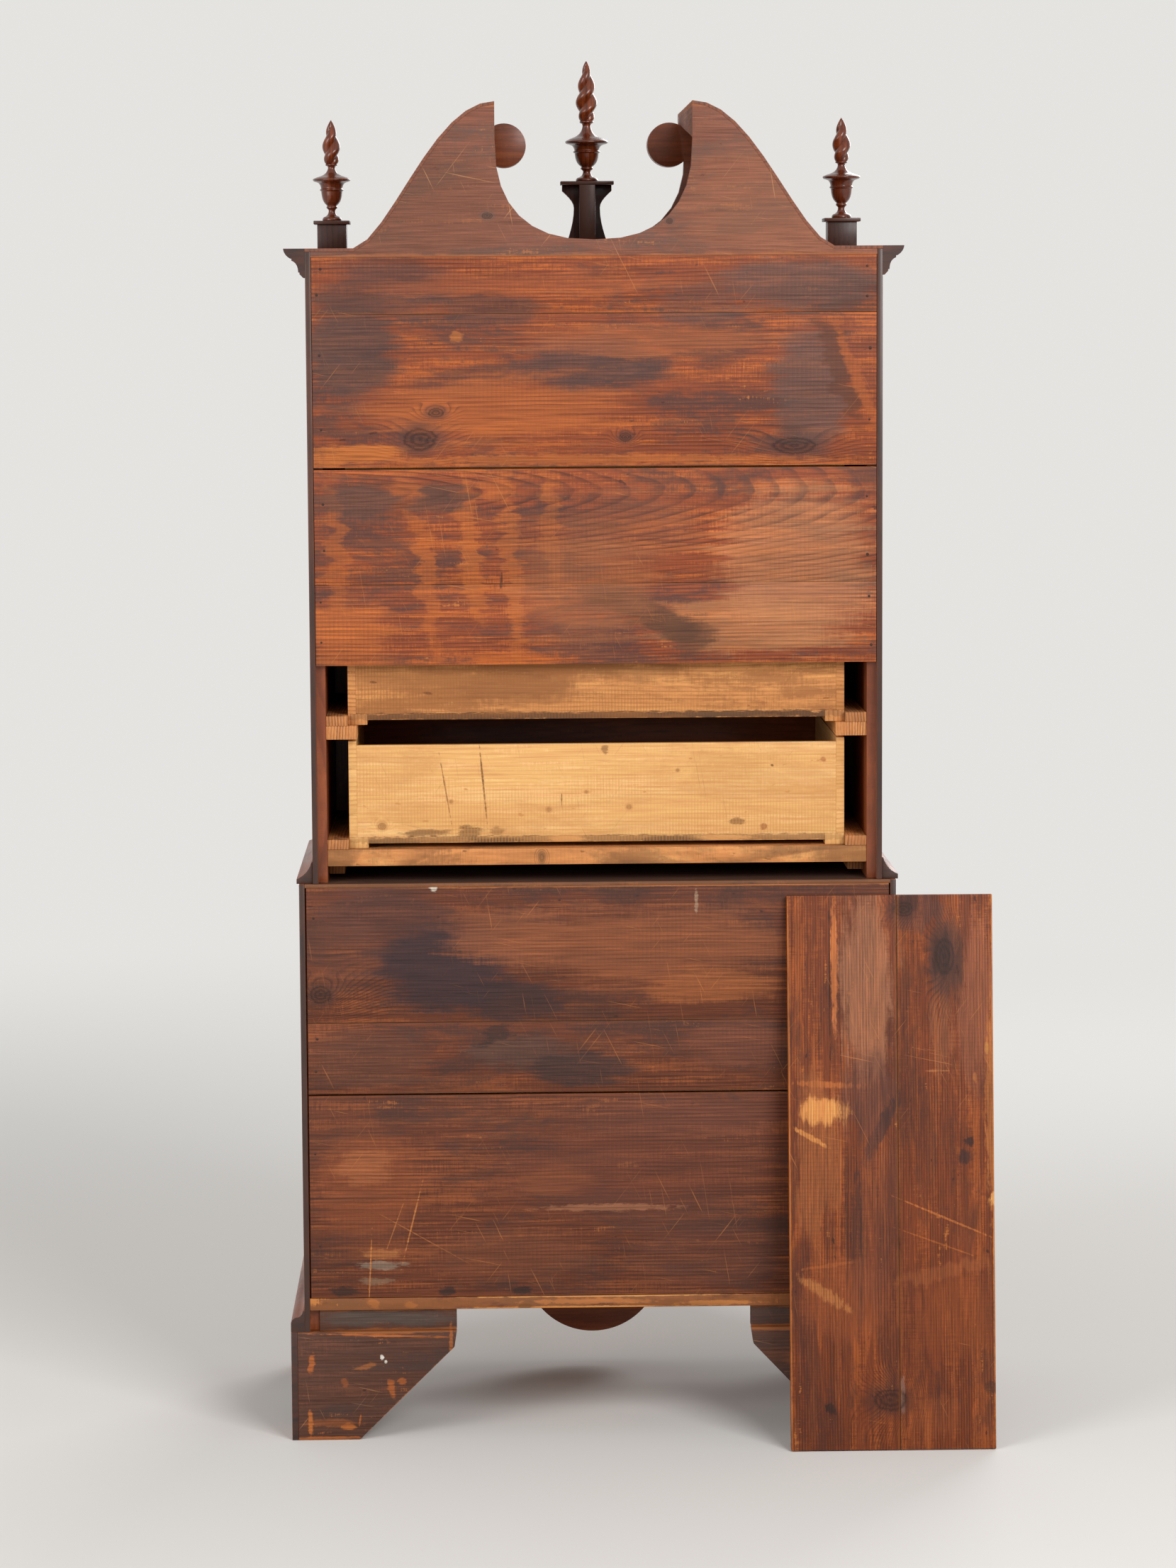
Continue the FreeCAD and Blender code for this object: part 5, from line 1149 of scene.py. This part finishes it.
def arc(start, through, end, count=8):
    """Points of a bend from start to end that passes through a point half-way."""
    a, b, c = Vector(start), Vector(through), Vector(end)
    bend = 2 * b - (a + c) / 2
    places = [i / count for i in range(count + 1)]
    return [a * (1 - t) ** 2 + bend * 2 * t * (1 - t) + c * t ** 2 for t in places]


def cornice_section(out, drop):
    """The cornice's section, out and up: a thumb, a fillet, a cove, a fillet and a bevel."""
    shares = [(0, 0), (1, 0), *arc((1, -0.02), (0.9, -0.2), (0.68, -0.34)), (0.62, -0.34),
              *arc((0.62, -0.41), (0.39, -0.55), (0.31, -0.81)), (0.25, -0.81), (0.25, -0.87), (0.08, -1),
              (0, -1)]
    return [(x * out, z * drop, 0) for x, z in shares]


class CHEST_OT_cornice(bpy.types.Operator):
    """Swan-neck mouldings up the scrolls and the cornice's returns along the sides"""
    bl_idname = "chest.cornice"
    bl_label = "Cornice"

    def execute(self, context):
        settings = context.scene.chest_bonnet
        corner = box_of([v.co for v in NODES["upper_case_sides"].data.vertices])[1].x
        front = box_of([v.co for v in NODES["front_scroll_board"].data.vertices])[0].y
        runs = [box_of(points) for points, _ in solids_of("cornice_mouldings")]
        low, high = max(runs, key=lambda run: run[1].y)
        out, top, depth = high.x - corner, high.z, high.y - front
        section = cornice_section(out, top - low.z)
        mesh = bpy.data.meshes.new("cornice_section")
        mesh.from_pydata(section, [(i, (i + 1) % len(section)) for i in range(len(section))], [])
        shape = bpy.data.objects.new("cornice_section", mesh)
        context.scene.collection.objects.link(shape)

        start, end = corner - settings.scroll_flat, settings.scroll_end
        scroll = []
        for i in range(SCROLL_STEPS + 1):
            t = i / SCROLL_STEPS
            lift = settings.scroll_rise * math.sin(math.pi / 2 * t ** settings.fullness) ** 2
            scroll.append((start + (end - start) * t, front, top + lift))
        given = {"Section": shape, "Corner X": corner, "Front Y": front}
        rule = sweep_rule(MATERIALS["cherry"])
        turn = [(corner + out, front, top), (corner - MM, front, top)]
        path = turn + scroll
        neck = outward(*grow(rule, path, [(i, i + 1) for i in range(len(path) - 1)], given))
        points, faces = grow(rule, turn + [(corner - depth, front, top)], [(0, 1), (1, 2)], given)
        side = outward([Vector((corner + front - p.y, front + corner - p.x, p.z)) for p in points], faces)
        piece = Piece("cornice_run")
        for run, axes in ((neck, (0, 2, 1)), (side, (1, 2, 0))):
            piece.add(*run, axes)
            piece.add(*mirror(*run), axes)
        place_piece(piece.finish(MATERIALS["cherry"], smooth_deg=40.0), "cornice_mouldings")
        bpy.data.objects.remove(shape)
        return {"FINISHED"}


# Turned profiles, in shares of their radius and height: an urn up to its brim, its neck and a rosette.
URN_BOWL = [
    (0.49, 0), (0.51, 0.02), (0.51, 0.05), (0.46, 0.09), (0.33, 0.115), (0.23, 0.155), (0.18, 0.22),
    (0.18, 0.27), (0.24, 0.295), (0.29, 0.315), (0.29, 0.345), (0.25, 0.37), (0.3, 0.39), (0.4, 0.44),
    (0.48, 0.51), (0.53, 0.6), (0.555, 0.7), (0.56, 0.725), (0.61, 0.737), (0.635, 0.756), (0.61, 0.775),
    (0.57, 0.79), (0.58, 0.83), (0.62, 0.88), (0.68, 0.92), (0.8, 0.945), (0.95, 0.965), (1.0, 1.0)]
URN_NECK = [
    (0.99, 0.05), (0.93, 0.1), (0.86, 0.12), (0.83, 0.15), (0.7, 0.2), (0.54, 0.26), (0.4, 0.35),
    (0.3, 0.45), (0.23, 0.58), (0.19, 0.72), (0.19, 0.8), (0.22, 0.86), (0.29, 0.89), (0.32, 0.92),
    (0.32, 0.97), (0.29, 1.0)]
ROSETTE = [
    (1.0, 0.0), (1.0, 0.68), (0.97, 0.74), (0.9, 0.76), (0.86, 0.74), (0.8, 0.66), (0.7, 0.64), (0.6, 0.7),
    (0.52, 0.8), (0.46, 0.84), (0.4, 0.8), (0.34, 0.78), (0.3, 0.84), (0.22, 0.95), (0.1, 1.0), (0.04, 1.0)]


class CHEST_OT_finials(bpy.types.Operator):
    """Rosettes, turned urns and corkscrew flames"""
    bl_idname = "chest.finials"
    bl_label = "Finials and rosettes"

    def execute(self, context):
        settings = context.scene.chest_bonnet
        urns = Piece("finial_urns_turned")
        for points, _ in solids_of("finial_urns"):
            low, high = box_of(points)
            x, y, radius = (low.x + high.x) / 2, (low.y + high.y) / 2, (high.x - low.x) / 2
            brim = max(points, key=lambda p: round((p.xy - Vector((x, y))).length, 4)).z
            rows = [(r * radius, low.z + h * (brim - low.z)) for r, h in URN_BOWL]
            rows += [(r * radius, brim + h * (high.z - brim)) for r, h in URN_NECK]
            urns.add(*lathe(softened(rows), 48, lambda px, py, pz: (x + px, y + py, pz)), (2, 0, 1))
        place_piece(urns.finish(MATERIALS["finial"], smooth_deg=50.0), "finial_urns")

        rule = flame_rule(MATERIALS["finial"])
        flames = Piece("finial_flames_carved")
        for points, _ in solids_of("finial_flames"):
            tip = max(points, key=lambda p: p.z)
            low, high = box_of(points)
            radius = max((p.xy - tip.xy).length for p in points)
            height = high.z - low.z
            given = {"Height": height, "Radius": radius, "Turns": height / settings.flame_pitch,
                     "Valley": settings.flame_valley}
            flames.add(*grow(rule, [(0, 0, 0)], [], given, (tip.x, tip.y, low.z)), (2, 0, 1))
        place_piece(flames.finish(MATERIALS["finial"], smooth_deg=60.0), "finial_flames")

        rosettes = Piece("rosettes_turned")
        for points, _ in solids_of("rosettes"):
            low, high = box_of(points)
            x, z = (low.x + high.x) / 2, (low.z + high.z) / 2
            radius, depth = (high.x - low.x) / 2, high.y - low.y
            rows = softened([(r * radius, h * depth) for r, h in ROSETTE])
            rosettes.add(*lathe(rows, 64, lambda px, py, pz: (x + px, high.y - pz, z + py)), (0, 2, 1))
        place_piece(rosettes.finish(MATERIALS["cherry"], smooth_deg=50.0), "rosettes")
        return {"FINISHED"}


# Where each light stands, in metres, and its width and height. All look at the middle of the chest.
LIGHT_AIM = (0, 0, 1.1)
LIGHTS = {
    "key_light": ((-2.4, 4.6, 3.6), (2.4, 2.4)),
    "side_light": ((3.4, 3.6, 2.4), (2.2, 2.6)),
    "front_light": ((-2.2, -4.6, 3.4), (2.6, 2.6)),
}
SIDE_LIGHT_SHARE = 0.55
# The camera: its place, its lens on a frame 36 mm tall, and its turns in radians from looking straight ahead.
CAMERA_PLACE = (0.1769, 7.1864, 1.8455)
CAMERA_LENS, CAMERA_FRAME = 99.40, 36.0
CAMERA_YAW, CAMERA_PITCH, CAMERA_ROLL = 0.02336, 0.11051, -0.00602


def area_light(name, watts):
    """A soft rectangular light, turned to the chest."""
    place, size = LIGHTS[name]
    light = bpy.data.lights.new(name, "AREA")
    light.shape, light.size, light.size_y, light.energy = "RECTANGLE", *size, watts
    obj = bpy.data.objects.new(name, light)
    obj.location = place
    obj.rotation_euler = (Vector(LIGHT_AIM) - Vector(place)).to_track_quat("-Z", "Y").to_euler()
    bpy.context.scene.collection.objects.link(obj)


def studio_floor(pale):
    """A plain floor that thins out with distance, so it runs into the backdrop without a line."""
    material, tree = new_material("Plain studio floor")
    place = add(tree, "ShaderNodeTexCoord", give="Object")
    away = add(tree, "ShaderNodeVectorMath", {0: place}, give="Value", operation="LENGTH")
    matt = add(tree, "ShaderNodeBsdfDiffuse", {"Color": pale})
    clear = add(tree, "ShaderNodeBsdfTransparent")
    shader = add(tree, "ShaderNodeMixShader", {0: away.smooth(1.6, 5.5), 1: matt, 2: clear})
    add(tree, "ShaderNodeOutputMaterial", {"Surface": shader})
    mesh = bpy.data.meshes.new("studio_floor")
    mesh.from_pydata([(-15, -15, 0), (15, -15, 0), (15, 15, 0), (-15, 15, 0)], [], [(0, 1, 2, 3)])
    mesh.materials.append(material)
    floor = bpy.data.objects.new("studio_floor", mesh)
    bpy.context.scene.collection.objects.link(floor)


def soft_world(pale):
    """A pale backdrop for the camera and for reflections, and a dimmer, warmer sky that lights the chest."""
    world = bpy.data.worlds.new("Soft studio")
    world.use_nodes = True
    tree = world.node_tree
    tree.nodes.clear()
    rays = [add(tree, "ShaderNodeLightPath", give=ray) for ray in ("Is Camera Ray", "Is Glossy Ray")]
    lit = add(tree, "ShaderNodeBackground", {"Color": (1.0, 0.98, 0.95, 1.0), "Strength": 0.42})
    seen = add(tree, "ShaderNodeBackground", {"Color": pale, "Strength": 1.0})
    both = add(tree, "ShaderNodeMixShader", {0: rays[0].reckon("MAXIMUM", rays[1]), 1: lit, 2: seen})
    add(tree, "ShaderNodeOutputWorld", {"Surface": both})
    return world


def view_from_behind():
    """The camera, turned, dipped and rolled in that order."""
    camera_data = bpy.data.cameras.new("view_from_behind")
    camera_data.sensor_fit, camera_data.sensor_height = "VERTICAL", CAMERA_FRAME
    camera_data.lens = CAMERA_LENS
    camera_data.clip_end = 60.0
    camera = bpy.data.objects.new("view_from_behind", camera_data)

    def turned(a, b, angle):
        return a * math.cos(angle) + b * math.sin(angle), b * math.cos(angle) - a * math.sin(angle)

    right, up, ahead = Vector((-1, 0, 0)), Vector((0, 0, 1)), Vector((0, -1, 0))
    ahead, right = turned(ahead, right, CAMERA_YAW)
    up, ahead = turned(up, ahead, CAMERA_PITCH)
    right, up = turned(right, up, CAMERA_ROLL)
    axes = Matrix((right, up, -ahead)).transposed().to_4x4()
    camera.matrix_world = Matrix.Translation(CAMERA_PLACE) @ axes
    bpy.context.scene.collection.objects.link(camera)
    return camera


class CHEST_OT_stage(bpy.types.Operator):
    """Plain floor, soft studio light and the camera behind the chest"""
    bl_idname = "chest.stage"
    bl_label = "Stage"

    def execute(self, context):
        scene = context.scene
        settings, pale = scene.chest_stage, (*scene.chest_colours.floor, 1.0)
        studio_floor(pale)
        scene.world = soft_world(pale)
        area_light("key_light", settings.key_watts)
        area_light("side_light", settings.key_watts * SIDE_LIGHT_SHARE)
        area_light("front_light", settings.fill_watts)
        scene.camera = view_from_behind()
        scene.view_settings.view_transform = "Standard"
        return {"FINISHED"}


class CHEST_PT_panel(bpy.types.Panel):
    """Lists the pieces of the chest and their settings"""
    bl_idname = "CHEST_PT_panel"
    bl_label = "Chest-on-chest"
    bl_space_type = "VIEW_3D"
    bl_region_type = "UI"
    bl_category = "Chest"

    def draw(self, context):
        for operator in OPERATORS:
            self.layout.operator(operator.bl_idname)
        for group, kind in SETTINGS.items():
            for name in kind.__annotations__:
                self.layout.prop(getattr(context.scene, group), name)


SETTINGS = {"chest_bonnet": BonnetSettings, "chest_columns": ColumnSettings,
            "chest_hardware": HardwareSettings, "chest_colours": ColourSettings, "chest_stage": StageSettings}
OPERATORS = (CHEST_OT_stage, CHEST_OT_case, CHEST_OT_columns, CHEST_OT_drawers, CHEST_OT_cornice,
             CHEST_OT_finials, CHEST_OT_nails)
CLASSES = (*SETTINGS.values(), *OPERATORS, CHEST_PT_panel)


def register():
    """Makes the classes and their settings known to Blender."""
    for cls in CLASSES:
        bpy.utils.register_class(cls)
    for name, kind in SETTINGS.items():
        setattr(bpy.types.Scene, name, PointerProperty(type=kind))


def unregister():
    """Takes the settings and the classes back."""
    for name in SETTINGS:
        delattr(bpy.types.Scene, name)
    for cls in reversed(CLASSES):
        bpy.utils.unregister_class(cls)


def main():
    """Builds the whole chest."""
    register()
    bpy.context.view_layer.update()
    make_materials()
    bpy.ops.chest.stage()
    bpy.ops.chest.case()
    bpy.ops.chest.columns()
    bpy.ops.chest.drawers()
    bpy.ops.chest.cornice()
    bpy.ops.chest.finials()
    bpy.ops.chest.nails()


if __name__ == "__main__":
    main()
